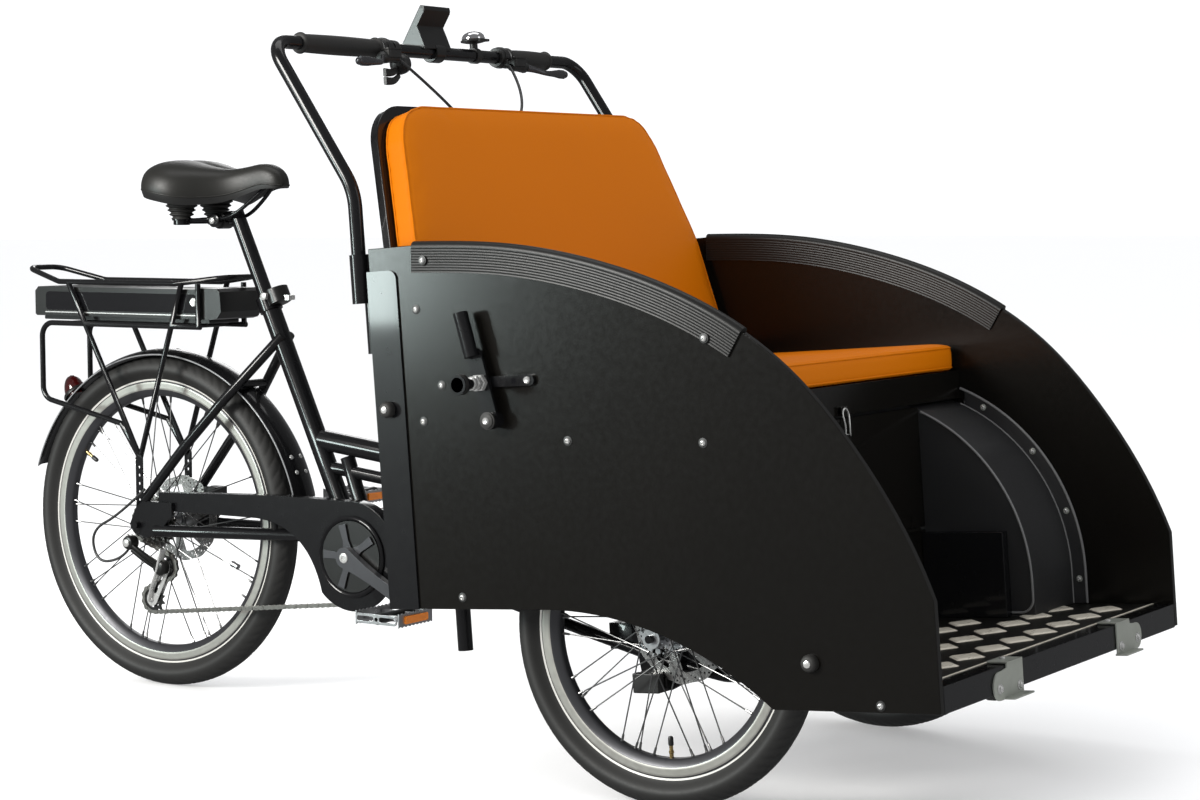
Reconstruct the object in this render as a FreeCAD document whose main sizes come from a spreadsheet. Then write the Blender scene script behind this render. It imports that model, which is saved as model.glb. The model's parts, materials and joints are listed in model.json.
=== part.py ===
"""Cycle rickshaw: a three-wheeled cycle with a two-wheeled passenger box ahead of the rider.

X points forward, Y to the rider's left and Z up, in millimetres, and the wheels stand on Z = 0.
Places are measured from the ground point under the front wheels' axle. The box leans back with
its nose up by box_pitch, so its pieces are drawn square and turned as one.
"""
import FreeCAD
import Part
import math
import os
import re
import Sketcher

SIZES = {
    # Stance
    "wheelbase": 1295, "wheel_inset": 90, "box_pitch": 4.4, "kingpin_setback": 120,
    # Wheels
    "rear_tyre_radius": 305, "front_tyre_radius": 254, "rear_bead_radius": 253, "front_bead_radius": 203,
    "tyre_width": 54, "bead_width": 25, "rim_height": 22, "rim_wall": 2.5, "rim_flange": 6,
    "seat_gap": 0.2, "run_gap": 0.4, "wheel_axle_radius": 6, "hub_shell_radius": 15,
    "hub_flange_radius": 29, "hub_flange_gap": 44, "hub_flange_width": 3.2, "hub_outer_length": 38,
    "hub_disc_length": 47, "hub_disc_radius": 22, "spoke_radius": 1.1, "spoke_count": 36,
    "spoke_cross_angle": 66, "spoke_circle_radius": 25.5, "disc_radius": 80, "disc_band": 16,
    "disc_thickness": 2, "disc_window_count": 6, "disc_hole_radius": 2.2, "disc_hole_count": 18,
    "cassette_radius": 46, "cassette_small_radius": 26,
    "cassette_length": 34, "cassette_start": 26, "cog_count": 8, "cog_width": 2, "rear_hub_half": 62,
    # Passenger box
    "box_width": 880, "panel_thickness": 12, "panel_rear": 410, "panel_nose": 505, "panel_top": 853,
    "panel_rear_foot": 302, "panel_front_foot": 164, "nose_height": 316, "cut_start": 130,
    "cut_radius": 582, "trim_height": 47, "trim_proud": 6, "trim_wall": 4, "trim_start": 325,
    "upright_width": 52, "upright_top": 818, "upright_wall": 3, "upright_corner": 14,
    "floor_level": 200, "floor_plate": 4, "nose_rail_height": 38, "nose_rail_depth": 34,
    "nose_rail_wall": 3, "seat_front": 150, "seat_level": 595, "seat_board": 15,
    "seat_rail_drop": 47, "seat_cushion_height": 44, "seat_side_gap": 6, "cushion_proud": 8,
    "cushion_corner": 22, "back_setback": 322, "back_lean": 15, "back_board": 15, "back_drop": 123,
    "back_height": 446, "back_rim": 3, "back_cushion_depth": 44, "back_taper": 60,
    "back_side_gap": 8, "back_wide_height": 218, "back_corner": 60,
    "arch_radius": 314, "arch_wall": 4, "arch_room": 80, "arch_flange": 26, "arch_rear_foot": 310,
    "hatch_foot": 348, "hatch_thickness": 12, "hatch_gap": 5, "latch_width": 30,
    "latch_height": 34, "latch_depth": 7, "latch_lever": 20, "latch_drop": 18, "keeper_width": 24,
    "keeper_height": 14, "hinge_radius": 4,
    "hinge_leaf": 2, "hinge_height": 24, "hinge_inset": 65, "hinge_width": 60, "side_box_length": 143,
    "side_box_depth": 20, "side_box_top": 338, "frame_tube_radius": 15, "side_tube_radius": 9,
    "side_tube_inset": 66, "side_tube_drop_x": 20, "side_tube_drop_z": 205, "side_tube_low_x": 80,
    "side_tube_low_z": 184, "side_tube_bend": 60, "cross_rear_x": 393, "cross_rear_z": 320,
    "cross_floor_x": 250, "cross_floor_radius": 8, "beam_box": 40, "beam_box_z": 222, "axle_plate": 7,
    "axle_plate_half": 44,
    "axle_plate_top": 292, "foot_stub_length": 95, "foot_stub_radius": 12,
    "bracket_inset": 214, "bracket_width": 104, "bracket_height": 62, "bracket_lip": 18,
    "bracket_sheet": 3,
    # Bars, sleeves and hood brackets
    "bar_tube_radius": 11.1, "bar_inset": 10, "bar_setback": 582, "bar_height": 1190,
    "bar_bend": 42, "leg_setback": 436, "leg_rise": 99, "leg_bend": 100,
    "sleeve_radius": 14.5, "sleeve_length": 75, "sleeve_top": 846,
    "receiver_radius": 12.5, "receiver_length": 153, "ear_thickness": 5, "ear_height": 24,
    "grip_radius": 16, "right_grip_end": 360, "right_grip_length": 203, "left_grip_end": 335,
    "left_grip_length": 131, "lever_clamp_radius": 17, "lever_clamp_width": 26, "perch_forward": 26,
    "perch_drop": 18, "perch_radius": 8, "perch_start": 17, "perch_length": 46, "perch_arm_radius": 6,
    "reservoir_width": 34, "reservoir_depth": 18, "reservoir_height": 15, "lever_reach": 24,
    "lever_sink": 12, "lever_knee": 30, "lever_length": 86, "lever_radius": 4.5, "lever_bend": 24,
    "lever_ball_radius": 7, "display_side": 7, "display_width": 76, "display_height": 78, "display_foot": 14,
    "display_rear": 43, "display_front": 14, "display_edge": 9, "bell_offset": 116, "bell_radius": 19,
    "bell_height": 15,
    "bell_stem_radius": 7, "bell_stem": 14, "hood_pivot_x": 190, "hood_pivot_z": 585,
    "hood_lever_length": 98, "hood_lever_lean": 13, "hood_lever_width": 26,
    "hood_lever_thickness": 6, "hood_stand_off": 12, "hood_socket_radius": 11, "hood_socket_bore": 8,
    "hood_socket_length": 68, "hood_bar_length": 92, "plunger_length": 46, "plunger_radius": 8,
    "plunger_height": 58, "knob_radius": 15, "knob_length": 13, "spacer_radius": 12,
    # Rear frame
    "crank_setback": 808, "crank_height": 280, "seat_tube_lag": 38, "seat_tube_lean": 24.5,
    "seat_tube_length": 485, "seat_tube_start": 42, "seat_tube_radius": 17.5,
    "seat_post_radius": 13.6, "seat_post_length": 166, "seat_clamp_radius": 21,
    "seat_clamp_height": 26, "beam_radius": 18,
    "beam_rear_x": 924, "beam_rear_z": 472, "beam_front_z": 376, "low_beam_rear_x": 904,
    "low_beam_rear_z": 424, "low_beam_front_z": 334, "low_beam_radius": 11, "kingpin_radius": 15,
    "kingpin_top": 396, "kingpin_foot": 206, "kingpin_housing_radius": 24,
    "kingpin_housing_length": 88, "kingpin_housing_foot": 216, "strut_top_x": 868,
    "strut_top_z": 444, "strut_foot_x": 830, "strut_foot_z": 338, "strut_radius": 13,
    "stay_radius": 9, "stay_spread": 71, "stay_top_spread": 20, "stay_mid_spread": 51,
    "stay_top_x": 1004, "stay_top_z": 655, "stay_mid_x": 1115, "stay_mid_z": 532,
    "stay_low_x": 1196, "stay_low_z": 448, "stay_foot_x": 1281, "stay_foot_z": 352,
    "stay_bend": 160, "chain_stay_rear_x": 1256, "chain_stay_rear_z": 296, "chain_stay_front_x": 866,
    "chain_stay_front_z": 306, "chain_stay_front_spread": 46, "chain_stay_radius": 11,
    "dropout_thickness": 7, "dropout_radius": 22, "rear_axle_half": 86, "cradle_wall": 9,
    "cradle_start": 48, "cradle_end": 222, "bridge_angle": 54.6, "bridge_radius": 7,
    "case_bracket_x": 1000, "case_bracket_z": 303, "case_bracket_radius": 4,
    "saddle_length": 268, "saddle_width": 225, "saddle_top": 965, "saddle_depth": 74,
    "saddle_nose_x": 1000, "bellow_radius": 17, "bellow_waist": 13, "bellow_folds": 5, "bellow_height": 46,
    "bellow_spread": 46,
    "bellow_x": 1205, "bellow_top": 886, "saddle_rail_radius": 3.5, "saddle_rail_spread": 22,
    "saddle_rail_front_x": 1048, "post_head_radius": 14, "post_head_half": 28,
    "motor_radius": 66, "motor_half_width": 38,
    "case_outer": 66, "case_inner": 42, "case_radius": 96, "case_top": 376,
    "case_foot": 333, "case_rear_x": 1254, "case_neck_x": 1025, "case_cover_radius": 52,
    "case_cover_depth": 3, "case_wall": 2.5, "case_foot_angle": 225, "case_nose_angle": 315,
    "case_crown_angle": 95, "case_mouth_angle": 325, "case_rise_angle": 30,
    "crank_length": 170, "crank_angle": 28, "crank_arm_offset": 82, "crank_arm_width": 14,
    "crank_boss_radius": 18, "crank_end_radius": 13, "spindle_radius": 9, "pedal_axle_radius": 5,
    "pedal_length": 92, "pedal_width": 98, "pedal_height": 26, "pedal_gap": 6, "pedal_spine": 12,
    "pedal_rim": 9,
    "pedal_chamfer": 7, "reflector_width": 62, "reflector_height": 10, "reflector_depth": 3,
    "chain_cog": 5, "chain_width": 5.6, "chain_height": 8, "pulley_radius": 20, "pulley_width": 2.4,
    "pulley_low_x": 1285, "pulley_low_z": 166, "pulley_high_x": 1253, "pulley_high_z": 228,
    "ring_radius": 80, "ring_width": 2.4, "cage_radius": 12,
    "cage_thickness": 2, "knuckle_x": 1309, "knuckle_z": 272, "knuckle_radius": 13,
    "knuckle_length": 20, "link_offset": 66,
    "fender_lead": 12, "fender_drop": 18, "fender_radius": 336, "fender_width": 60,
    "fender_sheet": 2.5, "fender_front_angle": 14, "fender_rear_angle": 161, "fender_crown": 9,
    "rack_level": 745, "rack_end_half": 40, "rack_tube_radius": 5, "rack_cross_radius": 4,
    "rack_rear_x": 1596, "rack_front_x": 1108, "rack_kick": 24, "rack_kick_length": 100,
    "rack_low_level": 668, "rack_low_front_x": 1150, "rack_low_rear_x": 1541, "rack_tail_z": 528,
    "rack_tail_end_x": 1345, "rack_tail_end_z": 487, "rack_foot_x": 1299, "rack_foot_z": 334,
    "rack_knee_x": 1300, "rack_knee_z": 425, "rack_strut_rear_x": 1473, "rack_strut_front_x": 1194,
    "rack_bend": 26, "rack_cross_front_x": 1190, "rack_cross_rear_x": 1480,
    "rack_plate_half": 8, "rack_plate": 3, "rack_plate_holes": 6, "rack_plate_hole_radius": 3,
    "battery_length": 430, "battery_width": 108, "battery_height": 56, "battery_rear_x": 1568,
    "battery_chamfer": 14, "battery_step": 44, "battery_drop": 10, "battery_nose": 30, "lamp_radius": 22,
    "lamp_skirt": 8, "lamp_depth": 30, "lamp_angle": 134,
    "caliper_length": 46, "caliper_width": 34, "caliper_height": 30, "caliper_slot": 6, "caliper_drop": 12,
    "rear_caliper_angle": 30, "hose_radius": 2.5,
    "overrun": 20,
}

doc = FreeCAD.newDocument("cycle_rickshaw")
sheet = doc.addObject("Spreadsheet::Sheet", "sizes")
for row, (alias, value) in enumerate(SIZES.items(), start=1):
    sheet.set(f"A{row}", alias)
    sheet.set(f"B{row}", str(value))
    sheet.setAlias(f"B{row}", alias)
doc.recompute()


class Sheet:
    """Reads a size from the sheet by its alias."""

    def __getattr__(self, alias):
        return float(sheet.get(alias))


s = Sheet()
V = FreeCAD.Vector
UP = V(0, 0, 1)
ACROSS = V(0, 1, 0)
NODES = {}

PITCH = math.radians(s.box_pitch)
LIP_REACH = ((s.panel_nose + s.seat_gap + s.bracket_lip) * math.cos(PITCH)
             - (s.floor_level + s.bracket_lip - s.bracket_height) * math.sin(PITCH))
FRONT_AXLE = (s.rack_rear_x + s.rack_tube_radius - LIP_REACH) / 2
HALF_TRACK = s.box_width / 2 - s.wheel_inset
ARCH_SIDE = HALF_TRACK - s.arch_room
SIDE_TUBE = HALF_TRACK - s.side_tube_inset
BAR_SIDE = s.box_width / 2 - s.bar_inset
LEG_BEND_HEIGHT = s.sleeve_top + s.leg_rise
GROUND = FreeCAD.Placement(V(FRONT_AXLE, 0, 0), FreeCAD.Rotation())
BOX = FreeCAD.Placement(V(FRONT_AXLE, 0, 0), FreeCAD.Rotation(ACROSS, -s.box_pitch))


# Helpers

def cells(text):
    """Turns plain size names in a formula into references to the sheet."""
    return re.sub(r"[a-z_]{2,}", lambda word: f"sizes.{word.group(0)}", text)


def bind(thing, **formulas):
    """Ties properties of an object to formulas in size names."""
    for name, formula in formulas.items():
        thing.setExpression(name, cells(formula))
    return thing


def in_box(x, z):
    """The box's own x and z for a place measured level from under the front axle."""
    return x * math.cos(PITCH) + z * math.sin(PITCH), z * math.cos(PITCH) - x * math.sin(PITCH)


def rod(name, start, end, radius):
    """A round bar between two places."""
    bar = doc.addObject("Part::Cylinder", name)
    bind(bar, Radius=radius)
    bar.Height = start.distanceToPoint(end)
    bar.Placement = FreeCAD.Placement(start, FreeCAD.Rotation(UP, end - start))
    return bar


def block(name, corner, length, width, height):
    """A square block from its lowest corner; its three sizes are formulas."""
    box = bind(doc.addObject("Part::Box", name), Length=length, Width=width, Height=height)
    box.Placement.Base = corner
    return box


def bent_wire(points, bends):
    """Straight runs joined by tangent arcs, one bend radius for each inner point."""
    edges, start = [], points[0]
    for before, corner, after, radius in zip(points, points[1:], points[2:], bends):
        back = (before - corner).normalize()
        ahead = (after - corner).normalize()
        half = back.getAngle(ahead) / 2
        reach = radius / math.tan(half)
        middle = (back + ahead).normalize()
        top = corner + middle * (radius / math.sin(half) - radius)
        edges.append(Part.makeLine(start, corner + back * reach))
        edges.append(Part.Arc(corner + back * reach, top, corner + ahead * reach).toShape())
        start = corner + ahead * reach
    edges.append(Part.makeLine(start, points[-1]))
    return Part.Wire(edges)


def tube(name, points, bends, radius):
    """A round tube swept along bent runs."""
    path = doc.addObject("Part::Feature", name + "_path")
    path.Shape = bent_wire(points, bends)
    ring = bind(doc.addObject("Part::Circle", name + "_ring"), Radius=radius)
    ring.Placement = FreeCAD.Placement(points[0], FreeCAD.Rotation(UP, points[1] - points[0]))
    sweep = doc.addObject("Part::Sweep", name)
    sweep.Sections = [ring]
    sweep.Spine = (path, [f"Edge{i + 1}" for i in range(len(path.Shape.Edges))])
    sweep.Solid = True
    return sweep


def fuse(name, pieces):
    """One solid from pieces that are welded together."""
    joined = doc.addObject("Part::MultiFuse", name)
    joined.Refine = False
    joined.Shapes = pieces
    return joined


def cut(name, base, tool):
    """The base with the tool's space taken out."""
    rest = doc.addObject("Part::Cut", name)
    rest.Base = base
    rest.Tool = tool
    return rest


def mirrored(name, source):
    """The same piece on the other side of the middle plane."""
    copy = doc.addObject("Part::Mirroring", name)
    copy.Source = source
    copy.Normal = ACROSS
    return copy


def body(name):
    return doc.addObject("PartDesign::Body", name)


def sketch(owner, role, offset=0.0):
    """A sketch on one of the body's own planes, moved along the plane's normal."""
    plane = next(f for f in owner.Origin.OriginFeatures if f.Role == role)
    drawing = owner.newObject("Sketcher::SketchObject", owner.Name + "_sketch")
    drawing.AttachmentSupport = [(plane, "")]
    drawing.MapMode = "FlatFace"
    drawing.AttachmentOffset = FreeCAD.Placement(V(0, 0, offset), FreeCAD.Rotation())
    return drawing


def outline(drawing, start, *moves):
    """Draws a closed outline: a move is a corner, a bow (middle, end) or a curve through a list."""
    flat = lambda p: V(p[0], p[1], 0)
    here, first = flat(start), drawing.GeometryCount
    for move in moves:
        if isinstance(move, list):
            curve = Part.BSplineCurve()
            curve.interpolate([here] + [flat(p) for p in move])
            end = flat(move[-1])
            drawing.addGeometry(curve, False)
        elif isinstance(move[0], tuple):
            end = flat(move[1])
            drawing.addGeometry(Part.Arc(here, flat(move[0]), end), False)
        else:
            end = flat(move)
            drawing.addGeometry(Part.LineSegment(here, end), False)
        here = end
    if here.distanceToPoint(flat(start)) > 0:
        drawing.addGeometry(Part.LineSegment(here, flat(start)), False)
    return first


def ring(drawing, centre, radius):
    """A circle whose radius is a formula."""
    i = drawing.addGeometry(Part.Circle(V(centre[0], centre[1], 0), UP, 1), False)
    c = drawing.addConstraint(Sketcher.Constraint("Radius", i, 1))
    drawing.setExpression(f"Constraints[{c}]", cells(radius))
    return drawing


def pad(owner, drawing, length, both=False, reverse=False):
    """Adds the drawn outline, one way or evenly both ways."""
    feature = owner.newObject("PartDesign::Pad", owner.Name + "_pad")
    feature.Profile = drawing
    bind(feature, Length=length)
    feature.SideType = "Symmetric" if both else "One side"
    feature.Reversed = reverse
    doc.recompute()
    return feature


def pocket(owner, drawing, length, both=False, reverse=False):
    """Takes the drawn outline away."""
    feature = owner.newObject("PartDesign::Pocket", owner.Name + "_pocket")
    feature.Profile = drawing
    bind(feature, Length=length)
    feature.SideType = "Symmetric" if both else "One side"
    feature.Reversed = reverse
    doc.recompute()
    return feature


def turned(owner, drawing, axis="V_Axis"):
    """Turns the drawn outline about an axis of its sketch."""
    feature = owner.newObject("PartDesign::Revolution", owner.Name + "_turn")
    feature.Profile = drawing
    feature.ReferenceAxis = (drawing, [axis])
    doc.recompute()
    return feature


def keep(name, piece, frame):
    """Names a finished piece, stands it in its frame and lists it as a node."""
    piece.Label = name
    piece.Placement = frame.multiply(piece.Placement)
    NODES[name] = piece
    return piece


def keep_pair(name, right, frame, left_first=False):
    """Keeps a right-hand piece and its mirror image."""
    keep(name + "_right", right, frame)
    left = mirrored(name + "_left_copy", right)
    left.Label = name + "_left"
    NODES[name + "_left"] = left


# Wheels

# Where a tyre's shoulder lies: shares of its width across and of its height below the crown
SHOULDER_WIDTH_SHARE = 0.31
SHOULDER_DROP_SHARE = 0.11


def tyre(name, tyre_radius, bead_radius, centre):
    """A plump tyre, its sides straight beside the rim's flanges and bowed above them."""
    piece = body(name)
    bead, half = bead_radius, s.bead_width / 2
    free = bead + s.rim_flange + s.seat_gap
    height = tyre_radius - bead
    side = (bead + height / 2, s.tyre_width / 2)
    shoulder = (tyre_radius - height * SHOULDER_DROP_SHARE, s.tyre_width * SHOULDER_WIDTH_SHARE)
    profile = sketch(piece, "XY_Plane")
    outline(profile, (bead, -half), (free, -half), ((side[0], -side[1]), (shoulder[0], -shoulder[1])),
            ((tyre_radius, 0), shoulder), (side, (free, half)), (bead, half))
    turned(piece, profile)
    keep(name, piece, FreeCAD.Placement(centre, FreeCAD.Rotation()))


def rim(name, bead_radius, centre):
    """A box-section rim with a flange each side of the tyre's bead."""
    piece = body(name)
    inner = s.bead_width / 2 + s.seat_gap
    outer = inner + s.rim_wall
    tip, well = bead_radius + s.rim_flange, bead_radius - s.seat_gap
    waist, foot = bead_radius - s.rim_height / 2, bead_radius - s.rim_height
    profile = sketch(piece, "XY_Plane")
    outline(profile, (tip, inner), (tip, outer), (waist, outer), (foot, inner / 2), (foot, -inner / 2),
            (waist, -outer), (tip, -outer), (tip, -inner), (well, -inner), (well, inner))
    turned(piece, profile)
    keep(name, piece, FreeCAD.Placement(centre, FreeCAD.Rotation()))


# How deep a spoke's root sits in its flange, as a share of the spoke's radius
SPOKE_SEAT_SHARE = 0.6


def hub(name, bead_radius, centre, disc_side, plain_half, disc_half):
    """A hub shell with two flanges, and its crossed spokes out to the rim."""
    shell = body(name + "_shell")
    bore, skin = s.wheel_axle_radius + s.run_gap, s.hub_shell_radius
    flange, thick = s.hub_flange_gap / 2, s.hub_flange_width / 2
    end, disc_end = -disc_side * plain_half, disc_side * disc_half
    near, far = -disc_side * flange, disc_side * flange
    profile = sketch(shell, "XY_Plane")
    outline(profile, (bore, end), (skin, end), (skin, near - disc_side * thick),
            (s.hub_flange_radius, near - disc_side * thick), (s.hub_flange_radius, near + disc_side * thick),
            (skin, near + disc_side * thick), (skin, far - disc_side * thick),
            (s.hub_flange_radius, far - disc_side * thick), (s.hub_flange_radius, far + disc_side * thick),
            (s.hub_disc_radius, far + disc_side * thick), (s.hub_disc_radius, disc_end), (bore, disc_end))
    turned(shell, profile)
    pieces = [shell]
    count = int(s.spoke_count / 2)
    reach = bead_radius - s.rim_height - s.run_gap
    for side in (-1, 1):
        for i in range(count):
            start = 2 * math.pi * (i + (side > 0) / 2) / count
            lean = math.radians(s.spoke_cross_angle) * (1 if i % 2 else -1)
            beside = (thick + s.spoke_radius * SPOKE_SEAT_SHARE) * (1 if i % 2 else -1)
            root = V(s.spoke_circle_radius * math.cos(start), side * flange + beside,
                     s.spoke_circle_radius * math.sin(start))
            tip = V(reach * math.cos(start + lean), side * s.spoke_radius,
                    reach * math.sin(start + lean))
            pieces.append(rod(f"{name}_spoke", root, tip, "spoke_radius"))
    keep(name, fuse(name + "_joined", pieces), FreeCAD.Placement(centre, FreeCAD.Rotation()))


# A window's corners as shares of the turn between two windows: inner edge, then outer edge
WINDOW_INNER_SHARES = (0, 0.35, 0.7)
WINDOW_OUTER_SHARES = (1.05, 0.68, 0.3)
DISC_HOLE_SHARES = ((0.3, 0), (0.72, 0.5))


def brake_disc(name, centre, face, side):
    """A pierced brake disc, bolted to the hub's disc side."""
    piece = body(name)
    plate = sketch(piece, "XZ_Plane", -face)
    ring(plate, (0, 0), "disc_radius")
    ring(plate, (0, 0), "wheel_axle_radius + run_gap + run_gap")
    pad(piece, plate, "disc_thickness", both=True)
    inner, outer = s.hub_disc_radius + s.disc_band / 4, s.disc_radius - s.disc_band
    share = 2 * math.pi / s.disc_window_count
    turn = lambda radius, part: (radius * math.cos(share * part), radius * math.sin(share * part))
    window = sketch(piece, "XZ_Plane", -face)
    start, middle, end = (turn(inner, part) for part in WINDOW_INNER_SHARES)
    far, beyond, back = (turn(outer, part) for part in WINDOW_OUTER_SHARES)
    outline(window, start, (middle, end), far, (beyond, back))
    hole = pocket(piece, window, "disc_thickness * 2", both=True)
    pattern = piece.newObject("PartDesign::PolarPattern", name + "_windows")
    pattern.Originals = [hole]
    pattern.Axis = (window, ["N_Axis"])
    pattern.Angle = 360
    bind(pattern, Occurrences="disc_window_count")
    piece.Tip = pattern
    step = 2 * math.pi / s.disc_hole_count
    holes = sketch(piece, "XZ_Plane", -face)
    for out, part in DISC_HOLE_SHARES:
        radius = outer + s.disc_band * out
        ring(holes, (radius * math.cos(step * part), radius * math.sin(step * part)), "disc_hole_radius")
    hole = pocket(piece, holes, "disc_thickness * 2", both=True)
    drilled = piece.newObject("PartDesign::PolarPattern", name + "_holes")
    drilled.Originals = [hole]
    drilled.Axis = (holes, ["N_Axis"])
    drilled.Angle = 360
    bind(drilled, Occurrences="disc_hole_count")
    piece.Tip = drilled
    keep(name, piece, FreeCAD.Placement(centre, FreeCAD.Rotation()))


def rear_cassette(centre):
    """Eight cogs of falling size on the hub's right end."""
    piece = body("rear_cassette")
    count = int(s.cog_count)
    pitch = s.cassette_length / count
    drop = (s.cassette_radius - s.cassette_small_radius) / (count - 1)
    core = s.hub_shell_radius + s.seat_gap
    points = []
    for i in range(count):
        near = -s.cassette_start - i * pitch
        tip = s.cassette_radius - i * drop
        spacer = s.cassette_small_radius - 2 * s.cog_width
        points += [(tip, near), (tip, near - s.cog_width), (spacer, near - s.cog_width)]
        if i < count - 1:
            points.append((spacer, near - pitch))
    points.append((core, points[-1][1]))
    profile = sketch(piece, "XY_Plane")
    outline(profile, (core, -s.cassette_start), *points)
    turned(piece, profile)
    keep("rear_cassette", piece, FreeCAD.Placement(centre, FreeCAD.Rotation()))


def wheels():
    rear = V(FRONT_AXLE - s.wheelbase, 0, s.rear_tyre_radius)
    tyre("rear_tyre", s.rear_tyre_radius, s.rear_bead_radius, rear)
    rim("rear_rim", s.rear_bead_radius, rear)
    hub("rear_hub", s.rear_bead_radius, rear, 1, s.rear_hub_half, s.hub_disc_length)
    brake_disc("rear_brake_disc", rear, s.hub_disc_length + s.seat_gap + s.disc_thickness / 2, 1)
    rear_cassette(rear)
    for name, side in (("left", 1), ("right", -1)):
        centre = V(FRONT_AXLE, side * HALF_TRACK, s.front_tyre_radius)
        tyre(f"front_{name}_tyre", s.front_tyre_radius, s.front_bead_radius, centre)
        rim(f"front_{name}_rim", s.front_bead_radius, centre)
        hub(f"front_{name}_hub", s.front_bead_radius, centre, -side, s.hub_outer_length, s.hub_disc_length)
        face = -side * (s.hub_disc_length + s.seat_gap + s.disc_thickness / 2)
        brake_disc(f"front_{name}_brake_disc", centre, face, -side)


# Passenger box

# The side panel's top edge as shares of its length ahead of the trim's start, and of its fall
PANEL_EDGE_SHARES = [(0, 0), (0.2, 0.027), (0.4, 0.098), (0.6, 0.226), (0.75, 0.389),
                     (0.866, 0.6), (0.956, 0.834), (1, 1)]
TRIM_LAST_SHARE = 0.676
TRIM_FALL_SHARE = 0.296
TRIM_STEPS = 7


def panel_curve():
    """The curved top edge of a side panel."""
    span = s.panel_nose + s.trim_start
    fall = s.panel_top - s.nose_height
    curve = Part.BSplineCurve()
    curve.interpolate([V(-s.trim_start + span * x, s.panel_top - fall * z, 0) for x, z in PANEL_EDGE_SHARES])
    return curve


def beside_curve(offset):
    """Places along the trimmed stretch of the edge, moved out from the panel by offset."""
    curve = panel_curve()
    span = s.panel_nose + s.trim_start
    last = curve.parameter(V(-s.trim_start + span * TRIM_LAST_SHARE,
                             s.panel_top - (s.panel_top - s.nose_height) * TRIM_FALL_SHARE, 0))
    places = []
    for i in range(TRIM_STEPS + 1):
        at = last * i / TRIM_STEPS
        along = curve.tangent(at)[0]
        out = V(-along.y, along.x, 0)
        place = curve.value(at) + out * offset
        places.append((place.x, place.y))
    return places


def side_panel():
    """A plywood side with a curved top edge, a straight nose and a bow cut over the wheel."""
    piece = body("side_panel")
    drawing = sketch(piece, "XZ_Plane", s.box_width / 2 - s.panel_thickness)
    centre = (-s.cut_start, s.panel_rear_foot - s.cut_radius)
    rise = s.panel_front_foot - centre[1]
    cut_end = centre[0] + math.sqrt(s.cut_radius ** 2 - rise ** 2)
    half = math.atan2(cut_end - centre[0], rise) / 2
    cut_middle = (centre[0] + s.cut_radius * math.sin(half), centre[1] + s.cut_radius * math.cos(half))
    edge = [(p.x, p.y) for p in (panel_curve().value(panel_curve().parameter(V(
        -s.trim_start + (s.panel_nose + s.trim_start) * x,
        s.panel_top - (s.panel_top - s.nose_height) * z, 0))) for x, z in reversed(PANEL_EDGE_SHARES[:-1]))]
    outline(drawing, (-s.panel_rear, s.panel_rear_foot), (-s.cut_start, s.panel_rear_foot),
            (cut_middle, (cut_end, s.panel_front_foot)), (s.panel_nose, s.panel_front_foot),
            (s.panel_nose, s.nose_height), edge, (-s.panel_rear, s.panel_top))
    pad(piece, drawing, "panel_thickness")
    keep_pair("side_panel", piece, BOX)


def edge_trim():
    """A soft channel pressed over the curved edge, so that hands don't rest on bare plywood."""
    piece = body("edge_trim")
    middle = s.box_width / 2 - s.panel_thickness / 2
    top, foot = beside_curve(s.trim_proud), beside_curve(s.trim_proud - s.trim_height)
    section = sketch(piece, "XZ_Plane", middle)
    outline(section, top[0], top[1:], foot[-1], foot[-2::-1])
    pad(piece, section, "panel_thickness + 2 * trim_wall", both=True)
    inner, below = beside_curve(s.seat_gap), beside_curve(-s.trim_height - s.trim_proud)
    slot = sketch(piece, "XZ_Plane", middle)
    outline(slot, (inner[0][0] - s.overrun, inner[0][1]), inner[0], inner[1:],
            (inner[-1][0] + s.overrun, inner[-1][1] - s.overrun),
            (below[-1][0] + s.overrun, below[-1][1] - s.overrun), below[-1], below[-2::-1],
            (below[0][0] - s.overrun, below[0][1]))
    pocket(piece, slot, "panel_thickness + 2 * seat_gap", both=True)
    keep_pair("edge_trim", piece, BOX)


def upright():
    """A steel channel over the panel's rear edge, with the receiver tube that holds the bars."""
    sheath = body("upright_sheath")
    middle = s.box_width / 2 - s.panel_thickness / 2
    rear, front = -s.panel_rear - s.upright_wall - s.seat_gap, s.upright_width - s.panel_rear
    foot, top, corner = s.panel_rear_foot, s.upright_top, s.upright_corner
    drawing = sketch(sheath, "XZ_Plane", middle)
    bow = corner * (1 - math.sqrt(0.5))
    outline(drawing, (rear, foot), (front, foot), (front, top - corner),
            ((front - bow, top - bow), (front - corner, top)), (rear, top))
    pad(sheath, drawing, "panel_thickness + 2 * upright_wall + 2 * seat_gap", both=True)
    slot = sketch(sheath, "XZ_Plane", middle)
    outline(slot, (-s.panel_rear - s.seat_gap, foot - s.overrun), (front + s.overrun, foot - s.overrun),
            (front + s.overrun, top + s.overrun), (-s.panel_rear - s.seat_gap, top + s.overrun))
    pocket(sheath, slot, "panel_thickness + 2 * seat_gap", both=True)
    y = -(BAR_SIDE - s.sleeve_radius - s.receiver_radius - s.seat_gap)
    receiver = rod("upright_receiver", V(-s.leg_setback, y, s.sleeve_top - s.receiver_length),
                   V(-s.leg_setback, y, s.sleeve_top), "receiver_radius")
    ears = []
    for level in (s.sleeve_top - s.receiver_length, s.upright_top - 2 * s.ear_height):
        ears.append(block("upright_ear", V(-s.leg_setback, y - s.receiver_radius, level),
                          "leg_setback - panel_rear", "ear_thickness", "ear_height"))
    wing = block("upright_wing", V(rear, -middle, s.sleeve_top - s.receiver_length),
                 "upright_wall", "bar_inset - panel_thickness / 2 + sleeve_radius + receiver_radius",
                 "receiver_length - ear_height * 2")
    keep_pair("upright", fuse("upright_joined", [sheath, receiver, wing] + ears), BOX)


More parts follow.
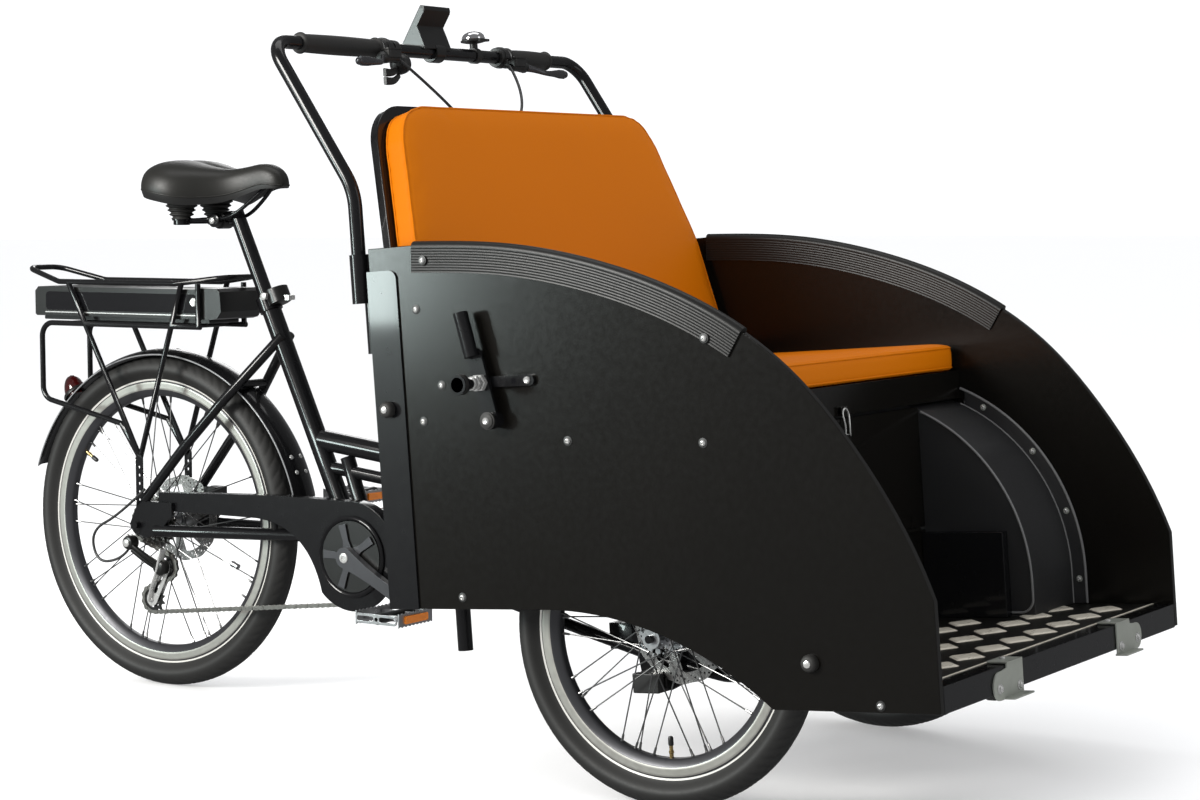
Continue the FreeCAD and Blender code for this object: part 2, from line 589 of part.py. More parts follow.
def seat_board():
    """The plywood seat with the front rail under its edge."""
    piece = body("seat_board")
    drawing = sketch(piece, "XZ_Plane")
    rail, under = s.seat_level - s.seat_rail_drop, s.seat_level - s.seat_board
    lean = math.tan(math.radians(s.back_lean))
    rear = s.seat_gap / math.cos(math.radians(s.back_lean)) - s.back_setback + s.seat_cushion_height * lean
    outline(drawing, (rear, s.seat_level), (s.seat_front, s.seat_level), (s.seat_front, rail),
            (s.seat_front - s.seat_board, rail), (s.seat_front - s.seat_board, under),
            (rear + s.seat_board * lean, under))
    pad(piece, drawing, "box_width - 2 * panel_thickness - 2 * seat_gap", both=True)
    keeper = block("latch_keeper", V(s.seat_front, -s.keeper_width / 2, rail), "latch_depth", "keeper_width",
                   "keeper_height")
    keep("seat_board", fuse("seat_board_kept", [piece, keeper]), BOX)


def seat_cushion():
    """The padded seat between the two sides."""
    piece = body("seat_cushion")
    half = s.box_width / 2 - s.panel_thickness - s.seat_side_gap
    rear = s.back_cushion_depth + s.cushion_proud - s.back_setback
    front, corner = s.seat_front + s.cushion_proud, s.cushion_corner
    bow = corner * (1 - math.sqrt(0.5))
    drawing = sketch(piece, "XY_Plane", s.seat_level + s.seat_gap)
    outline(drawing, (rear, -half), (front - corner, -half), ((front - bow, bow - half),
                                                              (front, corner - half)),
            (front, half - corner), ((front - bow, half - bow), (front - corner, half)), (rear, half))
    pad(piece, drawing, "seat_cushion_height")
    keep("seat_cushion", piece, BOX)


# A top corner's middle, as shares of its radius inward and down
CORNER_BOW_SHARES = (0.24, 0.27)


def back_outline(drawing, grow, foot, top):
    """The backrest's shape seen from the front: upright sides, then drawn in to a rounded top."""
    wide = s.box_width / 2 - s.panel_thickness - s.back_side_gap + grow
    narrow, knee = wide - s.back_taper, s.back_wide_height
    corner = s.back_corner + grow
    slope = (wide - narrow) / (top - knee)
    inner = narrow - corner
    shoulder = (narrow + slope * corner, top - corner)
    bow = (narrow - corner * CORNER_BOW_SHARES[0], top - corner * CORNER_BOW_SHARES[1])
    outline(drawing, (-wide, foot), (wide, foot), (wide, knee), shoulder, (bow, (inner, top)), (-inner, top),
            ((-bow[0], bow[1]), (-shoulder[0], shoulder[1])), (-wide, knee))


def backrest():
    """The leaning plywood back and the cushion on it."""
    level = s.seat_level + s.seat_cushion_height
    lean = FreeCAD.Placement(V(-s.back_setback, 0, level), FreeCAD.Rotation(ACROSS, -s.back_lean))
    frame = BOX.multiply(lean)
    board = body("back_panel")
    drawing = sketch(board, "YZ_Plane")
    back_outline(drawing, s.back_rim, -s.back_drop, s.back_height + s.back_rim * 3)
    pad(board, drawing, "back_board", reverse=True)
    keep("back_panel", board, frame)
    cushion = body("back_cushion")
    face = sketch(cushion, "YZ_Plane", s.seat_gap)
    back_outline(face, 0, s.cushion_proud, s.back_height)
    pad(cushion, face, "back_cushion_depth")
    keep("back_cushion", cushion, frame)


def wheel_arch():
    """A moulded cover over the wheel, open below and beside the panel, with a screwed flange."""
    piece = body("wheel_arch")
    x, z = in_box(0, s.front_tyre_radius)
    radius, wall, floor, rear = s.arch_radius, s.arch_wall, s.floor_level + s.seat_gap, s.arch_rear_foot
    seat = s.seat_front + s.overrun / 2
    panel = s.box_width / 2 - s.panel_thickness - s.seat_gap
    outer = sketch(piece, "XZ_Plane", ARCH_SIDE)
    back = x - math.sqrt(radius ** 2 - (rear - z) ** 2)
    outline(outer, (x + radius, floor), (x + radius, z), ((x, z + radius), (back, rear)), (seat, rear),
            (seat, floor))
    pad(piece, outer, "wheel_inset + arch_room - panel_thickness - seat_gap")
    hollow = sketch(piece, "XZ_Plane", ARCH_SIDE + wall)
    inside = radius - wall
    outline(hollow, (x + inside, floor - s.overrun), (x + inside, z), ((x, z + inside), (x - inside, z)),
            (x - inside, floor - s.overrun))
    pocket(piece, hollow, "box_width", reverse=True)
    reach = radius + s.arch_flange
    start = math.acos((s.seat_front + s.overrun / 2 - x) / radius)
    spot = lambda r, angle: (x + r * math.cos(angle), z + r * math.sin(angle))
    end = math.acos((s.seat_front + s.overrun / 2 - x) / reach)
    flange = sketch(piece, "XZ_Plane", panel - wall)
    outline(flange, (x + inside, floor), (x + reach, floor), (x + reach, z),
            (spot(reach, end / 2), spot(reach, end)), spot(inside, start),
            (spot(inside, start / 2), (x + inside, z)))
    pad(piece, flange, "arch_wall")
    keep_pair("wheel_arch", piece, BOX)


def hinge_half(name, sign):
    """A leaf and barrel on each side, the hatch's outside the riser's."""
    axis_x, axis_z = s.seat_front + s.hinge_radius, s.hatch_foot - s.hatch_gap / 2
    third = s.hinge_width / 3
    pieces = []
    for side in (-1, 1):
        for step in ((0,) if sign < 0 else (-1, 1)):
            y = side * (ARCH_SIDE - s.hinge_inset) + step * third
            half = ACROSS * (third / 2 - s.run_gap / 2)
            middle = V(axis_x, y, axis_z)
            barrel = rod(name + "_barrel", middle - half, middle + half, "hinge_radius")
            low = axis_z if sign > 0 else axis_z - s.hinge_height
            leaf = block(name + "_leaf", V(s.seat_front, y - half.y, low), "hinge_leaf",
                         "hinge_width / 3 - run_gap", "hinge_height")
            pieces += [barrel, leaf]
    return pieces


def foot_boards():
    """The hatch under the seat, the riser below it and the steel boxes beside the feet."""
    top = s.seat_level - s.seat_rail_drop - s.hatch_gap
    rear = s.seat_front - s.hatch_thickness
    hatch = body("seat_hatch")
    drawing = sketch(hatch, "XZ_Plane")
    outline(drawing, (rear, s.hatch_foot), (s.seat_front, s.hatch_foot), (s.seat_front, top), (rear, top))
    pad(hatch, drawing, "box_width - 2 * (wheel_inset + arch_room + hatch_gap)", both=True)
    foot = top - s.latch_drop - s.latch_height
    latch = block("latch_body", V(s.seat_front, -s.latch_width / 2, foot), "latch_depth", "latch_width",
                  "latch_height")
    lever = block("latch_lever", V(s.seat_front, -s.latch_lever / 2, foot - s.latch_depth),
                  "latch_depth + latch_depth / 2",
                  "latch_lever", "latch_height")
    keep("seat_hatch", fuse("seat_hatch_hinged", [hatch, latch, lever] + hinge_half("hatch_hinge", 1)), BOX)
    riser = body("foot_riser")
    drawing = sketch(riser, "XZ_Plane")
    low, high = s.floor_level + s.seat_gap, s.hatch_foot - s.hatch_gap
    outline(drawing, (rear, low), (s.seat_front, low), (s.seat_front, high), (rear, high))
    pad(riser, drawing, "box_width - 2 * (wheel_inset + arch_room + hatch_gap)", both=True)
    keep("foot_riser", fuse("foot_riser_hinged", [riser] + hinge_half("riser_hinge", -1)), BOX)
    box = body("side_box")
    drawing = sketch(box, "XY_Plane", low)
    front = s.seat_front + s.side_box_length
    side = s.seat_gap - ARCH_SIDE
    outline(drawing, (s.seat_front + s.seat_gap, side), (front, side), (front, side + s.side_box_depth),
            (s.seat_front + s.seat_gap, side + s.side_box_depth))
    pad(box, drawing, "side_box_top - floor_level")
    keep_pair("side_box", box, BOX)


def floor_plate():
    """Tread plate over the foot space, drawn in between the wheel arches."""
    piece = body("floor_plate")
    x, z = in_box(0, s.front_tyre_radius)
    wide = s.box_width / 2 - s.panel_thickness - s.seat_gap
    narrow = ARCH_SIDE - s.seat_gap
    rear, step = s.seat_front - s.hatch_thickness, x + s.arch_radius + s.seat_gap
    front = s.panel_nose - s.nose_rail_depth - s.seat_gap
    drawing = sketch(piece, "XY_Plane", s.floor_level)
    outline(drawing, (rear, -narrow), (step, -narrow), (step, -wide), (front, -wide), (front, wide),
            (step, wide), (step, narrow), (rear, narrow))
    pad(piece, drawing, "floor_plate", reverse=True)
    keep("floor_plate", piece, BOX)


def nose_rail():
    """A square tube across the box's nose."""
    piece = body("nose_rail")
    top, foot = s.floor_level, s.floor_level - s.nose_rail_height
    rear, front, wall = s.panel_nose - s.nose_rail_depth, s.panel_nose, s.nose_rail_wall
    drawing = sketch(piece, "XZ_Plane")
    outline(drawing, (rear, foot), (front, foot), (front, top), (rear, top))
    outline(drawing, (rear + wall, foot + wall), (front - wall, foot + wall), (front - wall, top - wall),
            (rear + wall, top - wall))
    pad(piece, drawing, "box_width - 2 * panel_thickness - 2 * seat_gap", both=True)
    keep("nose_rail", piece, BOX)


def nose_brackets():
    """Two folded and zinc-plated brackets on the nose rail, with a lip below and above."""
    pieces = []
    sheet_width = s.bracket_width
    front, top = s.panel_nose + s.seat_gap, s.floor_level + s.bracket_lip
    foot = top - s.bracket_height
    for side in (-1, 1):
        y = side * (s.box_width / 2 - s.bracket_inset) - sheet_width / 2
        face = block("bracket_face", V(front, y, foot), "bracket_sheet", "bracket_width", "bracket_height")
        low = block("bracket_low", V(front, y, foot), "bracket_lip", "bracket_width", "bracket_sheet")
        high = block("bracket_high", V(front - s.bracket_lip, y, top - s.bracket_sheet),
                     "bracket_lip + bracket_sheet", "bracket_width", "bracket_sheet")
        pieces.append(fuse("bracket", [face, low, high]))
    pair = doc.addObject("Part::Compound", "nose_bracket_pair")
    pair.Links = pieces
    keep("nose_brackets", pair, BOX)


def front_frame():
    """The steel frame under the box, with the stub axles and the steering head's housing."""
    pieces = []
    tube_radius = s.side_tube_radius
    rear_cross = V(-s.cross_rear_x, 0, s.cross_rear_z)
    half = ACROSS * (s.box_width / 2 - s.panel_thickness - s.upright_wall - s.seat_gap * 2)
    pieces.append(rod("frame_cross", rear_cross - half, rear_cross + half, "frame_tube_radius"))
    x, z = in_box(0, s.front_tyre_radius)
    nose = s.panel_nose - s.nose_rail_depth - s.seat_gap
    for side in (-1, 1):
        y = side * SIDE_TUBE
        route = [V(-s.cross_rear_x, y, s.cross_rear_z), V(-s.side_tube_drop_x, y, s.side_tube_drop_z),
                 V(s.side_tube_low_x, y, s.side_tube_low_z), V(nose, y, s.side_tube_low_z)]
        pieces.append(tube("frame_side", route, [s.side_tube_bend, s.side_tube_bend], "side_tube_radius"))
        pieces.append(rod("frame_foot", V(-s.cross_rear_x, y, s.cross_rear_z),
                          V(-s.cross_rear_x, y, s.cross_rear_z - s.foot_stub_length - tube_radius),
                          "foot_stub_radius"))
        plate = body("axle_plate")
        drawing = sketch(plate, "XZ_Plane", -y - s.axle_plate / 2)
        low = s.side_tube_drop_z
        drop = z - s.disc_radius - s.caliper_drop
        outline(drawing, (x - 2 * s.axle_plate_half, low + tube_radius), (x - s.disc_radius, drop),
                (x - s.disc_radius + s.caliper_length, drop), (x + s.axle_plate_half, low - tube_radius),
                (x + s.axle_plate_half / 2, s.axle_plate_top), (x - s.axle_plate_half, s.axle_plate_top))
        pad(plate, drawing, "axle_plate")
        pieces.append(plate)
        end = side * (HALF_TRACK + s.hub_outer_length + s.axle_plate)
        pieces.append(rod("stub_axle", V(x, y, z), V(x, end, z), "wheel_axle_radius"))
        pieces.append(rod("axle_shoulder", V(x, y, z), V(x, y + side * s.axle_plate, z), "hub_shell_radius"))
    head_x, head_z = in_box(-s.kingpin_setback, s.kingpin_housing_foot + s.kingpin_housing_length / 2)
    beam = block("frame_beam", V(head_x - s.beam_box / 2, -SIDE_TUBE, s.beam_box_z), "beam_box",
                 "box_width - 2 * (wheel_inset + side_tube_inset)", "beam_box")
    level = V(math.sin(PITCH), 0, math.cos(PITCH))
    middle = V(head_x, 0, head_z)
    reach = s.kingpin_housing_length / 2
    housing = rod("frame_housing", middle - level * reach, middle + level * reach, "kingpin_housing_radius")
    floor_cross = V(s.cross_floor_x, 0, s.side_tube_low_z)
    span = ACROSS * SIDE_TUBE
    pieces += [beam, housing, rod("frame_floor_cross", floor_cross - span, floor_cross + span,
                                   "cross_floor_radius")]
    bore = bind(doc.addObject("Part::Cylinder", "frame_bore"), Radius="kingpin_radius + run_gap",
                Height="kingpin_housing_length * 3")
    start = middle - level * (s.kingpin_housing_length * 1.5)
    bore.Placement = FreeCAD.Placement(start, FreeCAD.Rotation(UP, level))
    keep("front_frame", cut("front_frame_bored", fuse("front_frame_joined", pieces), bore), BOX)


# Bars and fittings on the box

def handlebar():
    """One wide bent tube whose legs drop into sleeves at the box's rear corners."""
    low = s.sleeve_top - s.sleeve_length
    y, x = BAR_SIDE, -s.leg_setback
    points = [V(x, -y, low), V(x, -y, LEG_BEND_HEIGHT), V(-s.bar_setback, -y, s.bar_height),
              V(-s.bar_setback, y, s.bar_height), V(x, y, LEG_BEND_HEIGHT), V(x, y, low)]
    pieces = [tube("bar", points, [s.leg_bend, s.bar_bend, s.bar_bend, s.leg_bend], "bar_tube_radius")]
    for side in (-1, 1):
        pieces.append(rod("bar_sleeve", V(x, side * y, low), V(x, side * y, s.sleeve_top), "sleeve_radius"))
    keep("handlebar", fuse("handlebar_joined", pieces), BOX)


def bar_ring(name, start, end, radius):
    """A ring round the cross bar between two places across."""
    a, b = V(-s.bar_setback, start, s.bar_height), V(-s.bar_setback, end, s.bar_height)
    hole = doc.addObject("Part::Cylinder", name + "_hole")
    bind(hole, Radius="bar_tube_radius + seat_gap")
    hole.Height = a.distanceToPoint(b) + 2 * s.overrun
    away = (b - a).normalize()
    hole.Placement = FreeCAD.Placement(a - away * s.overrun, FreeCAD.Rotation(UP, away))
    return cut(name, rod(name + "_skin", a, b, radius), hole)


def hand_grips():
    """A grip on each end of the bar; the right one is longer."""
    pair = doc.addObject("Part::Compound", "grip_pair")
    pair.Links = [bar_ring("grip_right", -s.right_grip_end, s.right_grip_length - s.right_grip_end,
                           "grip_radius"),
                  bar_ring("grip_left", s.left_grip_end, s.left_grip_end - s.left_grip_length, "grip_radius")]
    keep("hand_grips", pair, BOX)


def brake_levers():
    """A clamp, a master cylinder with its reservoir, and a curved blade with a ball end by each grip."""
    pieces = []
    places = ((-1, s.right_grip_end - s.right_grip_length), (1, s.left_grip_end - s.left_grip_length))
    x, z = s.perch_forward - s.bar_setback, s.bar_height - s.perch_drop
    away = V(s.perch_forward, 0, -s.perch_drop).normalize() * (s.bar_tube_radius + s.lever_clamp_radius) / 2
    for side, inner in places:
        start = side * (inner - s.seat_gap)
        clamp = bar_ring("lever_clamp", start, start - side * s.lever_clamp_width, "lever_clamp_radius")
        near = start - side * s.perch_start
        far = near + side * s.perch_length
        middle = start - side * (s.perch_start - s.perch_arm_radius)
        perch = rod("lever_perch", V(x, near, z), V(x, far, z), "perch_radius")
        arm = rod("lever_arm", V(-s.bar_setback, middle, s.bar_height) + away, V(x, middle, z),
                  "perch_arm_radius")
        tank = block("lever_reservoir", V(x - s.reservoir_depth / 3,
                                          min(near, near + side * s.reservoir_width), z),
                     "reservoir_depth", "reservoir_width", "reservoir_height")
        reach, low = x + s.lever_reach, z - s.lever_sink
        tip = V(reach, far + side * s.lever_length, low)
        blade = tube("lever_blade", [V(x, far - side * s.perch_radius, z),
                                     V(reach, far + side * s.lever_knee, low), tip],
                     [s.lever_bend], "lever_radius")
        ball = bind(doc.addObject("Part::Sphere", "lever_ball"), Radius="lever_ball_radius")
        ball.Placement.Base = tip
        pieces.append(fuse("lever", [clamp, perch, arm, tank, blade, ball]))
    pair = doc.addObject("Part::Compound", "lever_pair")
    pair.Links = pieces
    keep("brake_levers", pair, BOX)


def display_unit():
    """The rider's display: a wedge on a clamp round the bar, its face sloping to the rider."""
    ring_piece = bar_ring("display_clamp", -s.lever_clamp_width / 2, s.lever_clamp_width / 2,
                          "lever_clamp_radius")
    case = body("display_case")
    drawing = sketch(case, "XZ_Plane")
    front, top = s.display_front, s.display_height
    outline(drawing, (-s.display_rear, s.display_foot), (front, s.display_foot),
            (front, top - s.display_edge),
            (front - s.display_edge, top), (front - 2 * s.display_edge, top))
    pad(case, drawing, "display_width", both=True)
    case.Placement.Base = V(-s.bar_setback, -s.display_side, s.bar_height)
    keep("display_unit", fuse("display_joined", [ring_piece, case]), BOX)


# The bell's bow as shares of its radius and height
BELL_BOW_SHARES = (0.8, 0.66)


def bell():
    """A small dome on a stem."""
    piece = body("bell")
    stem, foot = s.bell_stem_radius, s.bar_tube_radius + s.seat_gap
    brim = foot + s.bell_stem
    drawing = sketch(piece, "XZ_Plane")
    bow = (s.bell_radius * BELL_BOW_SHARES[0], brim + s.bell_height * BELL_BOW_SHARES[1])
    top = brim + s.bell_height
    outline(drawing, (0, foot), (stem, foot), (stem, brim), (s.bell_radius, brim), (bow, (stem / 3, top)),
            (0, top))
    turned(piece, drawing)
    piece.Placement.Base = V(-s.bar_setback, s.bell_offset, s.bar_height)
    keep("bell", piece, BOX)


# The hood stay's width as a share of its lever's
STAY_WIDTH_SHARE = 0.62


def hood_bracket():
    """The folding hood's socket on a lever, its stay bar and the spring plunger that locks it."""
    face = s.box_width / 2
    inner = face + s.hood_stand_off
    pivot = V(-s.hood_pivot_x, 0, s.hood_pivot_z)
    lean = math.radians(s.hood_lever_lean)
    along = V(-math.sin(lean), 0, math.cos(lean))
    lever = body("hood_lever")
    drawing = sketch(lever, "XZ_Plane", inner)
    half, length = s.hood_lever_width / 2, s.hood_lever_length
    outline(drawing, (-half, 0), ((0, -half), (half, 0)), (half, length),
            ((0, length + half), (-half, length)))
    pad(lever, drawing, "hood_lever_thickness")
    lever.Placement = FreeCAD.Placement(pivot, FreeCAD.Rotation(ACROSS, -s.hood_lever_lean))
    out = -(inner + s.hood_lever_thickness)
    spacer_end = pivot - ACROSS * (inner + s.hood_lever_thickness * 2)
    spacer = rod("hood_spacer", pivot - ACROSS * face, spacer_end, "spacer_radius")
    pin = pivot + along * s.plunger_height
    plunger = rod("hood_plunger", pin - ACROSS * face, pin + ACROSS * (out - s.plunger_length),
                  "plunger_radius")
    knob = rod("hood_knob", pin + ACROSS * (out - s.plunger_length),
               pin + ACROSS * (out - s.plunger_length - s.knob_length), "knob_radius")
    bar = body("hood_stay")
    drawing = sketch(bar, "XZ_Plane", face)
    slim = half * STAY_WIDTH_SHARE
    outline(drawing, (pin.x - half, pin.z - slim), (pin.x - half + s.hood_bar_length, pin.z - slim),
            ((pin.x - half + s.hood_bar_length + slim, pin.z),
             (pin.x - half + s.hood_bar_length, pin.z + slim)),
            (pin.x - half, pin.z + slim))
    pad(bar, drawing, "hood_lever_thickness")
    foot = pivot + along * length + ACROSS * (out - s.hood_socket_radius / 2)
    top = foot + along * s.hood_socket_length
    socket = rod("hood_socket", foot, top, "hood_socket_radius")
    bore = rod("hood_bore", foot + along * s.hood_socket_bore, top + along * s.overrun, "hood_socket_bore")
    solid = fuse("hood_bracket_solid", [lever, spacer, plunger, knob, bar, socket])
    keep_pair("hood_bracket", cut("hood_bracket_bored", solid, bore), BOX)


def front_calipers():
    """A caliper across each front brake disc, behind and below the axle."""
    pieces = []
    x, z = in_box(0, s.front_tyre_radius)
    for side in (-1, 1):
        disc_y = side * (HALF_TRACK - s.hub_disc_length - s.seat_gap - s.disc_thickness / 2)
        inner = SIDE_TUBE + s.axle_plate / 2 + s.seat_gap
        foot = z - s.disc_radius - s.caliper_drop
        corner = V(x - s.disc_radius, inner if side > 0 else -inner - s.caliper_width, foot)
        outer = block("caliper_block", corner, "caliper_length", "caliper_width", "caliper_height")
        slot = block("caliper_slot", V(x - s.disc_radius * 2, disc_y - s.caliper_slot / 2,
                                       foot + s.caliper_drop / 2),
                     "disc_radius * 2", "caliper_slot", "caliper_height")
        pieces.append(cut("caliper", outer, slot))
    pair = doc.addObject("Part::Compound", "front_caliper_pair")
    pair.Links = pieces
    keep("front_brake_calipers", pair, BOX)


# Rear frame

def seat_line(length):
    """A place on the seat tube's line, so far up from beside the crank."""
    lean = math.radians(s.seat_tube_lean)
    foot = V(-s.crank_setback - s.seat_tube_lag, 0, s.crank_height)
    return foot + V(-math.sin(lean), 0, math.cos(lean)) * length


# How far along the chain stay's spread the chain case's bracket stands
CASE_FOOT_SHARE = 0.86

# How far the dropout's foot steps down ahead of the axle, as a share of its radius
DROPOUT_STEP_SHARE = 0.8


def main_frame():
    """The welded rear frame: seat tube, twin beams, stays, dropouts, motor cradle and kingpin."""
    pin = V(-s.kingpin_setback, 0, 0)
    pieces = [
        rod("seat_tube", seat_line(s.seat_tube_start), seat_line(s.seat_tube_length), "seat_tube_radius"),
        rod("seat_clamp", seat_line(s.seat_tube_length - s.seat_clamp_height), seat_line(s.seat_tube_length),
            "seat_clamp_radius"),
        rod("main_beam", V(-s.beam_rear_x, 0, s.beam_rear_z), pin + UP * s.beam_front_z, "beam_radius"),
        rod("low_beam", V(-s.low_beam_rear_x, 0, s.low_beam_rear_z), pin + UP * s.low_beam_front_z,
            "low_beam_radius"),
        rod("motor_strut", V(-s.strut_top_x, 0, s.strut_top_z), V(-s.strut_foot_x, 0, s.strut_foot_z),
            "strut_radius"),
        rod("kingpin", pin + UP * s.kingpin_foot, pin + UP * s.kingpin_top, "kingpin_radius"),
    ]
    axle = V(-s.wheelbase, 0, s.rear_tyre_radius)
    for side in (-1, 1):
        at = lambda x, spread, z: V(-x, side * spread, z)
        stay = [at(s.stay_top_x, s.stay_top_spread / 2, s.stay_top_z),
                at(s.stay_mid_x, s.stay_mid_spread, s.stay_mid_z),
                at(s.stay_low_x, s.stay_spread - s.stay_radius, s.stay_low_z),
                at(s.stay_foot_x, s.stay_spread, s.stay_foot_z)]
        pieces.append(tube("seat_stay", stay, [s.stay_bend, s.stay_bend], "stay_radius"))
        pieces.append(rod("chain_stay", at(s.chain_stay_rear_x, s.stay_spread, s.chain_stay_rear_z),
                          at(s.chain_stay_front_x, s.chain_stay_front_spread / 2, s.chain_stay_front_z),
                          "chain_stay_radius"))
        plate = body("dropout")
        drawing = sketch(plate, "XZ_Plane", -side * s.stay_spread - s.dropout_thickness / 2)
        r = s.dropout_radius
        outline(drawing, (axle.x - r, axle.z), ((axle.x, axle.z - r), (axle.x + r, axle.z - r)),
                (axle.x + 2 * r, axle.z - r * DROPOUT_STEP_SHARE), (axle.x + s.disc_radius, axle.z + r),
                (axle.x + s.disc_radius, axle.z + 2 * r), (axle.x, axle.z + 2 * r))
        pad(plate, drawing, "dropout_thickness")
        pieces.append(plate)
    pieces.append(rod("rear_axle", axle - ACROSS * s.rear_axle_half, axle + ACROSS * s.rear_axle_half,
                      "wheel_axle_radius"))
    turn, reach = math.radians(s.bridge_angle), s.fender_radius + s.seat_gap + s.bridge_radius
    bridge = V(axle.x + s.fender_lead + reach * math.cos(turn), 0,
               axle.z - s.fender_drop + reach * math.sin(turn))
    half = ACROSS * (s.stay_mid_spread - s.stay_radius)
    pieces.append(rod("stay_bridge", bridge - half, bridge + half, "bridge_radius"))
    plate_y = s.case_outer - s.case_wall - s.seat_gap
    foot = V(-s.case_bracket_x, -s.chain_stay_front_spread * CASE_FOOT_SHARE, s.case_bracket_z)
    knee = V(foot.x, foot.y, s.case_foot + s.chain_height)
    pieces += [rod("case_bracket_leg", foot, knee + UP * s.case_bracket_radius,
                   "case_bracket_radius + seat_gap"),
               rod("case_bracket", knee, V(knee.x, -plate_y, knee.z), "case_bracket_radius")]
    crank = V(-s.crank_setback, 0, s.crank_height)
    spot = lambda radius, turn: (crank.x + radius * math.cos(math.radians(turn)),
                                 crank.z + radius * math.sin(math.radians(turn)))
    start, end = s.cradle_start, s.cradle_end
    skin = s.motor_radius + s.cradle_wall
    cradle = body("motor_cradle")
    drawing = sketch(cradle, "XZ_Plane")
    outline(drawing, spot(s.motor_radius, start), spot(skin, start),
            (spot(skin, (start + end) / 2), spot(skin, end)),
            spot(s.motor_radius, end), (spot(s.motor_radius, (start + end) / 2), spot(s.motor_radius, start)))
    pad(cradle, drawing, "2 * motor_half_width", both=True)
    pieces.append(cradle)
    room = bind(doc.addObject("Part::Cylinder", "motor_room"), Radius="motor_radius + seat_gap",
                Height="4 * motor_half_width")
    room.Placement = FreeCAD.Placement(crank - ACROSS * 2 * s.motor_half_width, FreeCAD.Rotation(UP, ACROSS))
    keep("main_frame", cut("main_frame_welded", fuse("main_frame_joined", pieces), room), GROUND)


def seat_post():
    """The seat post above the clamp."""
    start = seat_line(s.seat_tube_length + s.seat_gap)
    end = seat_line(s.seat_tube_length + s.seat_post_length)
    keep("seat_post", rod("seat_post", start, end, "seat_post_radius"), GROUND)


# A saddle's cross sections from tail to nose, as shares of its length, half width and depth
SADDLE_SHARES = ((0, 0.78, 0.62), (0.12, 1, 0.86), (0.34, 0.92, 0.9), (0.58, 0.52, 0.74), (0.85, 0.25, 0.6),
                 (1, 0.17, 0.5))
SADDLE_DIP_SHARE = 0.12
SADDLE_RING_SHARES = ((0, 0), (0.62, 0.12), (1, 0.55), (0.8, 1), (0, 0.85), (-0.8, 1), (-1, 0.55),
                      (-0.62, 0.12))


def saddle():
    """A broad comfort saddle lofted from its tail to its nose."""
    wires = []
    for along, wide, deep in SADDLE_SHARES:
        x = -s.saddle_nose_x - s.saddle_length * (1 - along)
        half, depth = s.saddle_width / 2 * wide, s.saddle_depth * deep
        top = s.saddle_top - s.saddle_depth * SADDLE_DIP_SHARE * math.sin(math.pi * along)
        curve = Part.BSplineCurve()
        curve.interpolate([V(x, half * y, top - depth * z) for y, z in SADDLE_RING_SHARES], PeriodicFlag=True)
        wires.append(Part.Wire([curve.toShape()]))
    piece = doc.addObject("Part::Feature", "saddle")
    piece.Shape = Part.makeLoft(wires, True)
    keep("saddle", piece, GROUND)


def bellow(place):
    """A rubber bellows: its folds go in and out up its height."""
    piece = body("bellow")
    drawing = sketch(piece, "XZ_Plane")
    step = s.bellow_height / (2 * s.bellow_folds)
    folds = []
    for i in range(int(s.bellow_folds)):
        low = 2 * i * step
        folds += [(s.bellow_radius, low), (s.bellow_waist, low + step)]
    folds.append((s.bellow_radius, s.bellow_height))
    outline(drawing, (0, 0), *folds, (0, s.bellow_height))
    turned(piece, drawing)
    piece.Placement.Base = place
    return piece


def saddle_carrier():
    """The saddle's two rails, the clamp on the post's head and the sprung bellows."""
    head = seat_line(s.seat_tube_length + s.seat_post_length + s.seat_gap + s.post_head_radius)
    half = ACROSS * s.post_head_half
    pieces = [rod("post_head", head - half, head + half, "post_head_radius")]
    for side in (-1, 1):
        rear = V(-s.bellow_x, side * s.bellow_spread, head.z)
        rail = V(head.x, side * s.saddle_rail_spread, head.z)
        front = V(-s.saddle_rail_front_x, side * s.saddle_rail_spread, head.z)
        pieces += [rod("rail_rear", rear, rail, "saddle_rail_radius"),
                   rod("rail_front", rail, front, "saddle_rail_radius"),
                   bellow(V(rear.x, rear.y, s.bellow_top - s.bellow_height))]
    keep("saddle_carrier", fuse("saddle_carrier_joined", pieces), GROUND)


def motor_unit():
    """The drive unit round the crank's spindle."""
    centre = V(-s.crank_setback, 0, s.crank_height)
    half = ACROSS * s.motor_half_width
    drum = rod("motor_drum", centre - half, centre + half, "motor_radius")
    hole = bind(doc.addObject("Part::Cylinder", "motor_hole"), Radius="spindle_radius + run_gap",
                Height="4 * motor_half_width")
    hole.Placement = FreeCAD.Placement(centre - half * 2, FreeCAD.Rotation(UP, ACROSS))
    keep("motor_unit", cut("motor_bored", drum, hole), GROUND)


def chain_line():
    """How far right of the middle the chain runs: over the cog in use."""
    return s.cassette_start + s.chain_cog * s.cassette_length / s.cog_count + s.cog_width / 2


